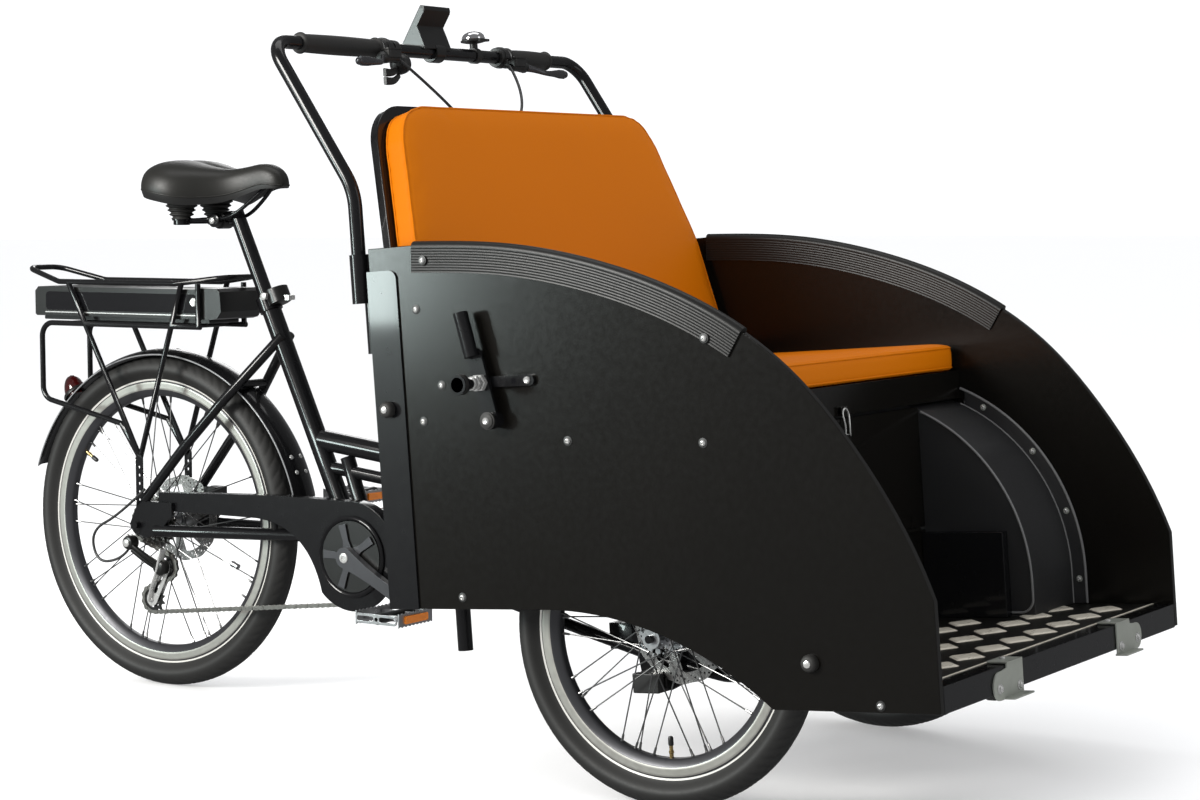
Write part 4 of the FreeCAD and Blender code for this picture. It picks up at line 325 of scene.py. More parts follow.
def round_axle(radius, turn, across=0, centre=(0, 0)):
    """Places round an axle that lies along y: x and z are polar, and y is given."""
    x, z = np.moveaxis(polar(radius, turn, centre), -1, 0)
    return np.stack([x, np.broadcast_to(across, x.shape), z], -1)


def circle(radius, count=24, centre=(0, 0), phase=0.0):
    """An outline round a centre."""
    return polar(radius, cycle(count) + phase, centre)


def window(inner, outer, start, stop, count=6):
    """A hole between two radii and two angles."""
    turn = np.linspace(start, stop, count)
    return np.concatenate([polar(inner, turn), polar(outer, turn)[::-1]])


def windows(inner, outer, number, margin, steps=6):
    """Equal holes round a wheel; the margin is the share of each that stays solid on either side."""
    part = 2 * math.pi / number
    return [window(inner, outer, (i + margin) * part, (i + 1 - margin) * part, steps) for i in range(number)]


def star(arm, phase, arms=5):
    """One arm's (radius, angle) places, repeated round a centre."""
    radius, angle = array(arm).T
    return polar(np.tile(radius, arms), (cycle(arms)[:, None] + phase + angle).ravel())


def rounded(width, height, corner, steps=4, centre=(0, 0)):
    """A rectangle's outline whose corners are quarter circles."""
    turn = np.linspace(0, math.pi / 2, steps + 1)
    arcs = []
    for k, (sx, sz) in enumerate(((1, 1), (-1, 1), (-1, -1), (1, -1))):
        middle = array((sx * (width / 2 - corner), sz * (height / 2 - corner))) + centre
        arcs.append(polar(corner, turn + k * math.pi / 2, middle))
    return np.concatenate(arcs)


print("shape helpers ready")

# %% [markdown]
# ## From shell to object
# A piece is linked with its points already in place, its faces smooth up to a given angle. It rides
# on a body and hides the CAD nodes it stands for.

# %% Pieces
BODY_OF = {name: node["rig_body"] for name, node in frame["nodes"].items()}
SOFT_ANGLE = math.radians(35)


def soften(obj, width):
    """Rounds the sharp edges, so that they catch the light as real ones do."""
    bevel = obj.modifiers.new("soft edges", "BEVEL")
    bevel.width, bevel.segments, bevel.limit_method = width * MM, 2, "ANGLE"
    bevel.angle_limit, bevel.harden_normals = SOFT_ANGLE, True
    bevel.miter_outer = "MITER_ARC"
    return obj


def settle_piece(obj, body, hides):
    """Links the object, rides it on its body and hides the nodes it stands for."""
    bpy.context.scene.collection.objects.link(obj)
    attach(obj, body)
    if hides:
        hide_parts(*hides)
    return obj


def piece(name, node, shell, finishes, place=in_box, hides=True, slot=None, smooth=32.0, soft=0.0):
    """Puts a shell into a mesh that rides with a CAD node, and hides that node unless told not to.

    A corner that repeats the next one is left out, which makes triangles.
    """
    points, faces, zones = shell
    kept = faces != np.roll(faces, -1, axis=1)
    sizes = kept.sum(1)
    mesh = bpy.data.meshes.new(name)
    mesh.vertices.add(len(points))
    mesh.vertices.foreach_set("co", place(points).astype(np.float32).ravel())
    mesh.loops.add(int(sizes.sum()))
    mesh.loops.foreach_set("vertex_index", faces[kept].astype(np.int32))
    mesh.polygons.add(len(faces))
    mesh.polygons.foreach_set("loop_start", (np.cumsum(sizes) - sizes).astype(np.int32))
    for material in finishes if isinstance(finishes, (list, tuple)) else [finishes]:
        mesh.materials.append(material)
    mesh.polygons.foreach_set("material_index", zones.astype(np.int32))
    mesh.update(calc_edges=True)
    mesh.validate()
    mesh.polygons.foreach_set("use_smooth", np.ones(len(mesh.polygons), bool))
    mesh.set_sharp_from_angle(angle=math.radians(smooth))
    obj = bpy.data.objects.new(name, mesh)
    settle_piece(obj, BODY_OF[node], (node,) if hides else ())
    return soften(obj, soft) if soft else obj


def extra(name, node, shell, finishes, place=in_box, **more):
    """A piece that is added beside a node, which stays in sight."""
    return piece(name, node, shell, finishes, place, hides=False, **more)


def pair(name, node, shell, finishes, hides=False, **more):
    """A piece on the box's right and its mirror image on the left; braces stand for the side."""
    for side, one in (("right", shell), ("left", mirrored(shell))):
        piece(name.format(side), node.format(side), one, finishes, in_box, hides, **more)


def dressed(node, material, soft):
    """A copy of a CAD node with its loose triangles welded, flat parts merged and edges softened."""
    source = frame["nodes"][node]
    shape = bmesh.new()
    shape.from_mesh(source.data)
    bmesh.ops.remove_doubles(shape, verts=shape.verts, dist=2e-5)
    bmesh.ops.dissolve_limit(shape, angle_limit=math.radians(0.4), verts=shape.verts, edges=shape.edges)
    mesh = bpy.data.meshes.new(node + "_dressed")
    shape.to_mesh(mesh)
    shape.free()
    mesh.materials.clear()
    mesh.materials.append(material)
    mesh.polygons.foreach_set("use_smooth", np.ones(len(mesh.polygons), bool))
    mesh.polygons.foreach_set("material_index", np.zeros(len(mesh.polygons), np.int32))
    mesh.set_sharp_from_angle(angle=math.radians(30))
    obj = bpy.data.objects.new(node + "_dressed", mesh)
    settle_piece(obj, BODY_OF[node], (node,))
    return soften(obj, soft) if soft else obj


print("piece helpers ready")

# %% [markdown]
# ## One recipe for most finishes
# Real surfaces are never one flat colour. The recipe mixes two close colours with a slow noise,
# lets the roughness wander with a finer one, and raises a grain as bump. All of it is read from
# object coordinates in metres, so a scale of 800 makes grains a little over a millimetre apart.

# %% Finish recipe


def tint(colour):
    """A colour for a socket: one number is a grey."""
    return (*np.broadcast_to(colour, 3).tolist(), 1)


def finish(name, colour, second, rough=0.4, spread=0.08, metal=0.0, coat=0.0, slow=7.0, grain=600.0,
           bump=0.0, cells=False, stretch=(1, 1, 1), specular=0.5, glow=None):
    """Two colours by slow noise, roughness by fine noise, and bump from noise or cell edges."""
    material = bpy.data.materials.new(name)
    material.use_nodes = True
    tree = material.node_tree

    def fill(target, inputs):
        """Links an input where its value is another node's output, and sets it where it is a constant."""
        for socket, value in inputs.items():
            if isinstance(value, bpy.types.NodeSocket):
                tree.links.new(value, target.inputs[socket])
            else:
                target.inputs[socket].default_value = value

    def node(kind, output, inputs, **settings):
        """A new node's output."""
        new = tree.nodes.new("ShaderNode" + kind)
        for key, value in settings.items():
            setattr(new, key, value)
        fill(new, inputs)
        return new.outputs[output]

    place = node("TexCoord", "Object", {})
    stretched = node("Mapping", "Vector", {"Scale": stretch, "Vector": place})
    drift = node("TexNoise", "Fac", {"Scale": slow, "Detail": 5.0, "Vector": place})
    colours = {"A": tint(colour), "B": tint(second), "Factor": drift}
    fine = node("TexNoise", "Fac", {"Scale": grain / 4, "Detail": 3.0, "Vector": stretched})
    range_ = {"To Min": max(rough - spread, 0.02), "To Max": min(rough + spread, 1.0), "Value": fine}
    levels = {"Base Color": node("Mix", "Result", colours, data_type="RGBA"),
              "Roughness": node("MapRange", "Result", range_), "Metallic": metal, "Coat Weight": coat,
              "Coat Roughness": 0.06, "Specular IOR Level": specular}
    grains = {"Scale": grain, "Vector": stretched}
    if bump and cells:
        height = node("TexVoronoi", "Distance", grains, feature="DISTANCE_TO_EDGE")
    elif bump:
        height = node("TexNoise", "Fac", grains | {"Detail": 2.0})
    if bump:
        levels["Normal"] = node("Bump", "Normal", {"Distance": bump * MM, "Height": height})
    if glow:
        levels |= {"Emission Color": tint(glow), "Emission Strength": 0.6}
    fill(tree.nodes["Principled BSDF"], levels)
    return material


RUBBER = finish("tyre_rubber", (0.009, 0.009, 0.0085), (0.015, 0.0145, 0.0135), 0.62, 0.08, grain=900,
                bump=0.12)
REFLECTIVE = finish("reflective_stripe", (0.46, 0.46, 0.43), (0.54, 0.53, 0.5), 0.35, 0.05, grain=1500,
                    bump=0.05, cells=True)
RIM_SIDE = finish("brushed_rim", (0.36, 0.35, 0.32), (0.44, 0.43, 0.40), 0.38, 0.08, metal=0.85, grain=500,
                  bump=0.02)
RIM_DARK = finish("dark_rim", (0.045, 0.046, 0.05), (0.06, 0.06, 0.065), 0.35, 0.06, metal=0.6, grain=500,
                  bump=0.02)
SPOKE = finish("spoke_steel", 0.20, 0.28, 0.3, 0.05, metal=1.0)
HUB_ALLOY = finish("hub_alloy", (0.55, 0.56, 0.58), (0.64, 0.65, 0.66), 0.3, 0.08, metal=1.0, grain=700,
                   bump=0.02)
DISC_STEEL = finish("disc_steel", (0.52, 0.51, 0.5), (0.6, 0.59, 0.57), 0.26, 0.1, metal=1.0, grain=900,
                    bump=0.02)
COG_STEEL = finish("cog_steel", (0.42, 0.41, 0.4), (0.52, 0.51, 0.49), 0.3, 0.1, metal=1.0, grain=700,
                   bump=0.02)
BRASS = finish("brass", (0.60, 0.42, 0.16), (0.68, 0.5, 0.22), 0.28, 0.06, metal=1.0)
FILM = finish("black_film_plywood", (0.003, 0.0027, 0.0022), (0.0045, 0.004, 0.0033), 0.2, 0.04, slow=3.0,
              grain=420, bump=0.012, specular=0.27)
GLOSS = finish("gloss_black_paint", (0.004, 0.004, 0.0045), (0.006, 0.006, 0.0065), 0.26, 0.04, coat=0.4,
               slow=4.0, grain=260, bump=0.015, specular=0.15)
RIBBED = finish("ribbed_rubber", (0.007, 0.007, 0.0068), (0.011, 0.011, 0.0105), 0.34, 0.06, grain=800,
                bump=0.04, specular=0.2)
LEATHERETTE = finish("orange_leatherette", (0.42, 0.108, 0.0008), (0.46, 0.122, 0.0012), 0.5, 0.07, slow=2.5,
                     grain=1100, bump=0.10, cells=True, specular=0.04)
MOULDED = finish("grained_moulding", (0.012, 0.012, 0.0125), (0.018, 0.018, 0.019), 0.5, 0.07, grain=900,
                 bump=0.12, cells=True)
PIPING = finish("grey_piping", 0.10, 0.14, 0.45, 0.06, grain=700, bump=0.05)
ALUMINIUM = finish("bright_aluminium", (0.36, 0.33, 0.27), (0.68, 0.64, 0.55), 0.3, 0.1, metal=0.15, slow=30.0,
                   grain=400, bump=0.04, stretch=(1, 0.2, 1))
PLATE_DARK = finish("dark_plate", (0.006, 0.0057, 0.005), (0.012, 0.011, 0.0095), 0.4, 0.1, metal=0.3,
                    grain=500, bump=0.08)
ZINC = finish("zinc_plate", (0.27, 0.285, 0.25), (0.35, 0.365, 0.33), 0.36, 0.1, metal=0.5, slow=40.0,
              grain=300, bump=0.04, cells=True)
GRIP = finish("grip_rubber", (0.012, 0.0115, 0.0105), (0.018, 0.0172, 0.016), 0.6, 0.06, grain=1200, bump=0.15,
              cells=True)
PLASTIC = finish("black_plastic", (0.007, 0.007, 0.0068), (0.011, 0.011, 0.0105), 0.42, 0.06, grain=1300,
                 bump=0.06)
GLASS_BLACK = finish("display_glass", (0.004, 0.004, 0.0045), (0.006, 0.006, 0.007), 0.14, 0.02, coat=0.4,
                     specular=0.3)
CHROME = finish("chrome", (0.78, 0.78, 0.8), (0.85, 0.85, 0.86), 0.08, 0.03, metal=1.0)
STEEL = finish("silver_steel", (0.55, 0.55, 0.54), (0.68, 0.68, 0.66), 0.26, 0.06, metal=0.7, grain=500,
               bump=0.02)
RED_LENS = finish("red_lens", (0.022, 0.002, 0.002), (0.04, 0.003, 0.003), 0.12, 0.03, coat=0.8, grain=500,
                  bump=0.12, cells=True)
ORANGE_LENS = finish("orange_reflector", (0.75, 0.19, 0.01), (0.85, 0.26, 0.02), 0.15, 0.04, coat=0.8,
                     grain=400, bump=0.3, cells=True)
VINYL = finish("saddle_vinyl", (0.009, 0.0088, 0.0076), (0.014, 0.0136, 0.0118), 0.42, 0.07, grain=1000,
               bump=0.10, cells=True, specular=0.35)
LEVER_METAL = finish("lever_metal", (0.05, 0.05, 0.053), (0.075, 0.075, 0.08), 0.26, 0.05, metal=0.7, grain=600,
                     bump=0.02)
SATIN_BLACK = finish("satin_black_plastic", (0.004, 0.004, 0.0038), (0.007, 0.0068, 0.0063), 0.3, 0.05,
                     grain=1100, bump=0.05)
CHAIN_STEEL = finish("chain_steel", (0.20, 0.19, 0.18), (0.30, 0.29, 0.27), 0.36, 0.08, metal=1.0, slow=60,
                     grain=700, bump=0.02)
CRANK_GREY = finish("crank_grey", (0.045, 0.046, 0.05), (0.06, 0.061, 0.066), 0.32, 0.06, metal=0.5, grain=600,
                    bump=0.02)
PEDAL_METAL = finish("pedal_metal", (0.55, 0.55, 0.56), (0.66, 0.66, 0.67), 0.3, 0.08, metal=1.0, grain=500,
                     bump=0.03)
MOTOR_GREY = finish("motor_grey", (0.085, 0.087, 0.092), (0.11, 0.112, 0.118), 0.36, 0.06, metal=0.3, grain=700,
                    bump=0.04)
# Painted sheen: the display's side plates wear a lighter blue-grey that stands in for the light from the left
# mirrored in the side, not the plastic's own colour.
DISPLAY_SIDE_SHEEN = finish("display_side", (0.030, 0.038, 0.038), (0.05, 0.06, 0.06), 0.3, 0.05, grain=500,
                      bump=0.02)
# Painted highlight: a coated mid-grey for the thin line along each of the fender's edges, in place of the light
# the glossy edge catches.
FENDER_EDGE_HIGHLIGHT = finish("edge_bright", (0.16, 0.165, 0.17), (0.2, 0.205, 0.21), 0.3, 0.05, coat=0.3, grain=500,
                     bump=0.02)
CABLE = finish("cable_sheath", 0.014, 0.02, 0.38, 0.05, grain=900, bump=0.03)
print("finishes:", len(bpy.data.materials))

# %% [markdown]
# ## Studio
# A pale floor runs to the horizon under an even pale sky. Soft lights hang to the left, to the
# right, overhead and behind. Black paint shows only what it mirrors, so the floor is kept out of
# reflections, and a fifth light, seen in reflections only, draws the sheen on the near panel.

# %% Studio
FLOOR_RADIUS = 60.0
SKY_SEEN, SKY_MIRRORED = 1.16, 0.2
WHITE = (1, 1, 1)
# name: place, target, size, power in watts, colour
LIGHTS = {
    "key_light": ((-1.6, -4.2, 2.4), (0.0, 0.0, 0.6), (1.6, 1.6), 290.0, (1.0, 0.985, 0.95)),
    "fill_light": ((3.4, 0.6, 2.0), (0.3, 0.0, 0.5), (1.2, 2.2), 10.0, WHITE),
    "top_light": ((-0.2, 0.2, 3.6), (0.0, 0.0, 0.5), (3.0, 1.2), 24.0, WHITE),
    "back_light": ((-2.6, 3.0, 2.0), (0.0, 0.0, 0.6), (1.4, 1.8), 24.0, WHITE),
    "streak_light": ((-2.80, -3.72, 0.90), (0.0, -0.44, 0.86), (0.7, 0.8), 62.0, (0.86, 1.0, 0.98)),
}


def make_floor():
    """A flat disc under the wheels."""
    flat = np.insert(polar(np.linspace(0, FLOOR_RADIUS, 5)[:, None], cycle(64)), 2, 0, axis=-1)
    mesh = bpy.data.meshes.new("floor")
    points, faces, zones = skin(flat, around=True)
    faces = faces[:, ::-1] if np.cross(points[faces[0, 1]] - points[faces[0, 0]],
                                       points[faces[0, 2]] - points[faces[0, 0]])[2] < 0 else faces
    mesh.from_pydata(points.tolist(), [], [list(dict.fromkeys(f)) for f in faces.tolist()])
    floor = bpy.data.objects.new("floor", mesh)
    bpy.context.scene.collection.objects.link(floor)
    mesh.materials.append(finish("pale_floor", 0.64, 0.66, 0.75, 0.05, specular=0.1, glow=0.5))
    floor.visible_glossy = False
    return floor


def area_light(name, place, target, size, power, colour):
    """A soft rectangular light that faces its target."""
    data = bpy.data.lights.new(name, "AREA")
    data.shape, data.size, data.size_y = "RECTANGLE", *size
    data.energy, data.color = power, colour
    lamp = bpy.data.objects.new(name, data)
    lamp.location = place
    lamp.rotation_mode = "QUATERNION"
    lamp.rotation_quaternion = (Vector(target) - Vector(place)).to_track_quat("-Z", "Y")
    bpy.context.scene.collection.objects.link(lamp)
    return lamp


def make_world():
    """An even sky: bright for what is seen and lit directly, dimmer in reflections."""
    world = bpy.data.worlds.new("studio")
    world.use_nodes = True
    nodes, links = world.node_tree.nodes, world.node_tree.links
    sky, path = nodes["Background"], nodes.new("ShaderNodeLightPath")
    level = nodes.new("ShaderNodeMapRange")
    level.inputs["To Min"].default_value, level.inputs["To Max"].default_value = SKY_SEEN, SKY_MIRRORED
    links.new(path.outputs["Is Glossy Ray"], level.inputs["Value"])
    links.new(level.outputs["Result"], sky.inputs["Strength"])
    sky.inputs["Color"].default_value = (0.97, 0.98, 1.0, 1)
    bpy.context.scene.world = world


make_floor()
make_world()
bpy.context.scene.view_settings.view_transform = "Standard"
lamps = {name: area_light(name, *row) for name, row in LIGHTS.items()}
lamps["streak_light"].visible_diffuse = False
print("lights:", len(bpy.data.lights))

# %% [markdown]
# ## Tyres
# A city tyre is a plump torus with slanted grooves on its shoulders, a zigzag groove each side of
# the crown and a reflective band low on each wall. The section is a smooth curve from bead to bead,
# and the grooves are a displacement that depends on both parameters of the grid.

# %% Tyres
TYRE_HALF, BEAD_HALF, FLANGE = 27.0, 12.5, 6.2
TREAD_BLOCKS, STEPS_PER_BLOCK = 84, 6


def tyre_section(tyre, bead, count=44):
    """Half widths and radii from the right bead over the crown to the left one."""
    height = tyre - bead
    side = [(-BEAD_HALF, bead), (-BEAD_HALF, bead + FLANGE), (-TYRE_HALF, bead + height / 2),
            (-TYRE_HALF * 0.62, tyre - height / 9)]
    places = side + [(0, tyre)] + [(-y, r) for y, r in side[::-1]]
    return flowing(places, count)


def tread(turn, across, tyre, radius):
    """How deep a groove is: two zigzags near the crown, and slanted cuts on the shoulders."""
    block = turn * TREAD_BLOCKS / (2 * math.pi)
    near = np.clip((radius - tyre + 16) / 6, 0, 1)
    zigzag = 6.5 + 1.6 * np.sign(np.sin(block * math.pi))
    channel = np.exp(-((np.abs(across) - zigzag) / 1.5) ** 2)
    slant = np.mod(block + np.abs(across) / 14, 1)
    cut = (slant < 1 / STEPS_PER_BLOCK) & (np.abs(across) > 9.5)
    fine = (np.mod(2 * block, 1) < 0.25) & (np.abs(across) < 4.5)
    return near * (1.3 * channel + 1.8 * cut + 0.7 * fine)


def tyre_shell(tyre, bead):
    """Rows go round the wheel and columns across: the section's radius less the groove's depth."""
    turn = cycle(TREAD_BLOCKS * STEPS_PER_BLOCK)[:, None]
    across, radius = tyre_section(tyre, bead).T
    points = round_axle(radius - tread(turn, across, tyre, radius), turn, across)

    def stripe(centres):
        """Zone 1 for the reflective band, zone 0 elsewhere."""
        out = np.hypot(centres[:, 0], centres[:, 2]) - bead
        return ((out > 6.4) & (out < 9.8) & (np.abs(centres[:, 1]) > BEAD_HALF)).astype(int)

    return skin(points, around=True, along=True, zones=stripe)


# wheel: axle's centre, radii of tyre and bead, the disc's side, and the hub's reach on the other
WHEELS = {
    "rear": ((-1295.0, 0.0, 305.0), 305.0, 253.0, 1, 62.0),
    "front_left": ((0.0, 350.0, 254.0), 254.0, 203.0, -1, 38.0),
    "front_right": ((0.0, -350.0, 254.0), 254.0, 203.0, 1, 38.0),
}
REAR_AXLE = WHEELS["rear"][0]


def at_wheel(centre):
    """A place function for shells drawn round a wheel's own axle."""
    return lambda points: on_ground(array(points) + centre)


for wheel, (centre, tyre, bead, disc_side, plain) in WHEELS.items():
    node = f"{wheel}_tyre"
    piece(node + "_tread", node, tyre_shell(tyre, bead), [RUBBER, REFLECTIVE], at_wheel(centre), smooth=40)

# %% [markdown]
# ## Rims
# The rim is an alloy box section, its sides machined bright and its inner face dark. The profile is
# walked once round as a closed loop, so that the well under the tyre is closed too.

# %% Rims


def rim_shell(bead):
    """The closed profile (across, radius) goes round the axle; the zone is dark below the waist."""
    tip, waist, foot = bead + 6.0, bead - 11.0, bead - 22.0
    right = [(12.7, bead - 0.2), (12.7, tip - 1), (13.4, tip), (14.5, tip - 0.4), (15.2, tip - 2.0),
             (14.9, bead + 1), (15.2, waist + 5), (14.9, waist + 1.4), (14.0, waist - 0.8),
             (9.5, foot + 3.4), (7.2, foot + 0.9), (5.0, foot), (2.0, foot - 0.3)]
    profile = right + [(-a, r) for a, r in right[::-1]]
    far = lambda centres: np.hypot(centres[:, 0], centres[:, 2])
    zones = lambda centres: ((far(centres) < waist + 1.0) | (far(centres) > bead + 3.6)).astype(int)
    return turned(profile, 144, closed=True, zones=zones)


def valve_shell(bead, turn):
    """A brass stem with a black cap, standing inward from the rim."""
    foot = bead - 20.0
    inward = (0, 0, -1)
    stem = turned([(0, 3.2), (8, 3.2), (9, 3.9), (12, 3.9), (13, 2.9), (22, 2.9)], 14, axis=inward)
    cap = turned([(20, 3.6), (22, 4.1), (31, 4.0), (33.5, 3.0), (34, 1.5)], 14, axis=inward, zones=1)
    return moved(moved(joined(stem, cap), (0, 0, foot)), turn=about((0, 1, 0), turn))


VALVE_TURNS = {"rear": -59.3, "front_left": 180.0, "front_right": 176.0}
for wheel, (centre, tyre, bead, disc_side, plain) in WHEELS.items():
    place, node = at_wheel(centre), f"{wheel}_rim"
    piece(node + "_bright", node, rim_shell(bead), [RIM_SIDE, RIM_DARK], place)
    extra(f"{wheel}_valve", node, valve_shell(bead, VALVE_TURNS[wheel]), [BRASS, PLASTIC], place)
print("rims and valves:", 2 * len(WHEELS))

# %% [markdown]
# ## Hubs and spokes
# Eighteen spokes leave each flange, every second one leaning forward and the others back, so that
# they cross. One thin rod is made, then turned and moved for each spoke by its own matrix. Nipples
# sit on their ends, and heads on the flange.

# %% Hubs and spokes
SPOKES, LEAN, CIRCLE, FLANGE_AT = 36, 66.0, 25.5, 22.0


def spoke_ends(bead):
    """Root and tip of each spoke: angles step round the flange, alternately leaned both ways."""
    number = np.arange(SPOKES)
    side = np.where(number < SPOKES // 2, -1, 1)
    order = number % (SPOKES // 2)
    start = 2 * math.pi * (order + (side > 0) / 2) / (SPOKES // 2)
    way = np.where(order % 2 == 1, 1, -1)
    end = start + np.radians(LEAN) * way
    reach = bead - 22.2
    return round_axle(CIRCLE, start, side * FLANGE_AT + way * 2.3), round_axle(reach, end, side * 1.1)


def aimed(directions):
    """Matrices that turn the z axis onto each direction."""
    ahead = unit(directions)
    side = unit(np.cross(ahead, (0, 1, 0.0)))
    return np.stack([side, np.cross(ahead, side), ahead], -1)


def spokes_shell(bead):
    """All rods, nipples and heads of one wheel."""
    root, tip = spoke_ends(bead)
    turns = aimed(tip - root)
    length = np.linalg.norm(tip - root, axis=1).mean()
    rod = turned([(0, 1.1), (length, 1.1)], 8, axis=(0, 0, 1))
    nipple = turned([(0, 1.3), (1.5, 1.9), (10, 2.1), (11, 2.8), (12, 2.8)], 8, axis=(0, 0, 1))
    head = turned([(-1.6, 0.6), (-1.2, 2.1), (0.6, 2.2), (1.4, 1.2)], 8, axis=(0, 0, 1))
    return joined(repeated(rod, turns, root), repeated(nipple, turns, tip - unit(tip - root) * 12),
                  repeated(head, turns, root))


def hub_shell(disc_side, plain):
    """A waisted barrel with a disc seat and two flanges; the one away from the disc is drilled."""
    out = -disc_side
    barrel = turned([(out * plain, 13), (out * plain, 15), (out * 25, 15.5), (out * 20, 17), (out * 12, 13.8),
                     (0, 13.2), (-out * 12, 13.8), (-out * 20, 18), (-out * 25, 22), (-out * 47, 22)], 40)
    drill = [circle(4.4, 12, spot) for spot in circle(20.3, 9)]
    small = [circle(1.5, 8, spot) for spot in circle(CIRCLE, 18)]
    flanges = [plate([circle(29, 72), circle(14.2, 36), *holes, *small], y - 1.6, y + 1.6)
               for y, holes in ((disc_side * FLANGE_AT, []), (-disc_side * FLANGE_AT, drill))]
    return joined(barrel, *flanges)


for wheel, (centre, tyre, bead, disc_side, plain) in WHEELS.items():
    place, node = at_wheel(centre), f"{wheel}_hub"
    piece(node + "_barrel", node, hub_shell(disc_side, plain), HUB_ALLOY, place, soft=0.3)
    extra(f"{wheel}_spokes", node, spokes_shell(bead), SPOKE, place)
print("spoked wheels:", len(WHEELS))

# %% [markdown]
# ## Brake discs
# A disc is stamped steel: a wavy rim, rows of round holes that let heat and water out, and six arms
# to the bolted centre. The wave is a cosine added to the outline's radius, and every hole is one
# more loop of the same plate.

# %% Brake discs
DISC_AT, DISC_WAVES = 48.2, 12


def disc_shell(face):
    """Radius 79 plus a wave of 1, with staggered holes and six wide windows."""
    turn = cycle(DISC_WAVES * 16)
    loops = [polar(79 + np.cos(turn * DISC_WAVES), turn), circle(19, 36)]
    for k in range(DISC_WAVES * 2):
        for step, radius in enumerate((67.6, 71.6, 75.4)):
            spot = (k + step * 0.33) * math.pi / DISC_WAVES
            loops.append(circle(1.75, 8, polar(radius, spot)))
    for k in range(6):
        low, high = (k + 0.16) * math.pi / 3, (k + 0.8) * math.pi / 3
        inner, outer = np.linspace(low + 0.1, high + 0.06, 7), np.linspace(high + 0.38, low + 0.42, 9)
        loops.append(np.concatenate([polar(31, inner), polar(62, outer)]))
    return plate(loops, face - 1.0, face + 1.0)


def disc_bolts(face, side):
    """Six round-headed bolts that hold the disc to the hub."""
    head = turned([(0, 4.4), (1.6, 4.2), (2.6, 2.6), (2.4, 0.8)], 12, axis=(0, side, 0))
    spots = np.insert(circle(22, 6, phase=0.3), 1, face + side, axis=1)
    return repeated(head, [np.eye(3)], spots)


for wheel, (centre, tyre, bead, disc_side, plain) in WHEELS.items():
    place, node, face = at_wheel(centre), f"{wheel}_brake_disc", disc_side * DISC_AT
    piece(f"{wheel}_disc_vented", node, disc_shell(face), DISC_STEEL, place)
    extra(f"{wheel}_disc_bolts", node, disc_bolts(face, disc_side), STEEL, place)
print("discs drilled:", DISC_WAVES * 6, "holes each")

# %% [markdown]
# ## Steel, plywood and sheet parts
# These parts are right as the CAD has them. Each gets a welded copy with softened edges and its
# finish: satin film on the plywood, deep gloss on the painted tubes, grain on the moulded arches.

# %% Dress the rigid parts
DRESS = [
    (FILM, {"side_panel_left": 1.2, "side_panel_right": 1.2, "seat_board": 0.8, "seat_hatch": 0.8,
            "foot_riser": 0.8}),
    (GLOSS, {"back_panel": 1.6, "upright_left": 1.0, "upright_right": 1.0, "handlebar": 0.0, "main_frame": 0.8,
             "front_frame": 0.8, "nose_rail": 1.4, "side_box_left": 1.2, "side_box_right": 1.2,
             "rear_fender": 0.5, "rear_rack": 0.0, "chain_case": 1.6}),
    (MOTOR_GREY, {"motor_unit": 3.0}), (MOULDED, {"wheel_arch_left": 1.6, "wheel_arch_right": 1.6}),
    (PLATE_DARK, {"floor_plate": 0.5}), (GLOSS, {"seat_post": 0.5}),
    (PLASTIC, {"front_brake_calipers": 2.0, "rear_brake_caliper": 2.0}),
    (GLOSS, {"hood_bracket_left": 0.6, "hood_bracket_right": 0.6}),
]
for material, nodes in DRESS:
    for node, soft in nodes.items():
        dressed(node, material, soft)
print("dressed CAD parts:", sum(len(nodes) for _, nodes in DRESS))

# %% [markdown]
# ## Cushions
# Seat and back are foam under stretched leatherette: nearly flat faces, full edges and a fine welt.
# They could be boxes with rounded edges, but real ones swell a little between their seams. So each
# starts as its outline, slightly small, is remeshed evenly, and is blown up as cloth with a cap on
# how far a point may move. The side that rests on wood is then pressed flat again.

# %% Cloth helper
CLOTH_FRAMES = 20


def corners_of(mesh):
    """A mesh's points in metres as rows of three."""
    flat = np.empty(len(mesh.vertices) * 3, np.float32)
    mesh.vertices.foreach_get("co", flat)
    return flat.reshape(-1, 3).astype(float)


def blown_up(shell, voxel=6.5, cap=5.0, pressure=4.0):
    """Remeshes a shell (in mm), steps a cloth under pressure, and moves each point at most cap mm."""
    points, faces, zones = shell
    kept = faces != np.roll(faces, -1, axis=1)
    mesh = bpy.data.meshes.new("pad_start")
    mesh.from_pydata((points * MM).tolist(), [], [f[k].tolist() for f, k in zip(faces, kept)])
    pad = bpy.data.objects.new("pad_start", mesh)
    scene = bpy.context.scene
    scene.collection.objects.link(pad)
    remesh = pad.modifiers.new("even", "REMESH")
    remesh.mode, remesh.voxel_size = "VOXEL", voxel * MM
    view = bpy.context.evaluated_depsgraph_get()
    even = bpy.data.meshes.new_from_object(pad.evaluated_get(view))
    pad.modifiers.remove(remesh)
    pad.data = even
    start = end = corners_of(even)
    cloth = pad.modifiers.new("cloth", "CLOTH").settings
    cloth.quality, cloth.use_pressure, cloth.uniform_pressure_force = 4, True, pressure
    cloth.effector_weights.gravity = 0.0
    for step in range(1, CLOTH_FRAMES + 1):
        scene.frame_set(step)
    end = corners_of(pad.evaluated_get(bpy.context.evaluated_depsgraph_get()).data)
    scene.frame_set(1)
    step = end - start
    far = np.linalg.norm(step, axis=1, keepdims=True)
    end = start + step * np.minimum(1, cap * MM / np.maximum(far, 1e-9))
    corners = np.empty(len(even.loops), np.int32)
    even.loops.foreach_get("vertex_index", corners)
    bpy.data.objects.remove(pad)
    return end / MM, corners.reshape(-1, 4), np.zeros(len(corners) // 4, int)


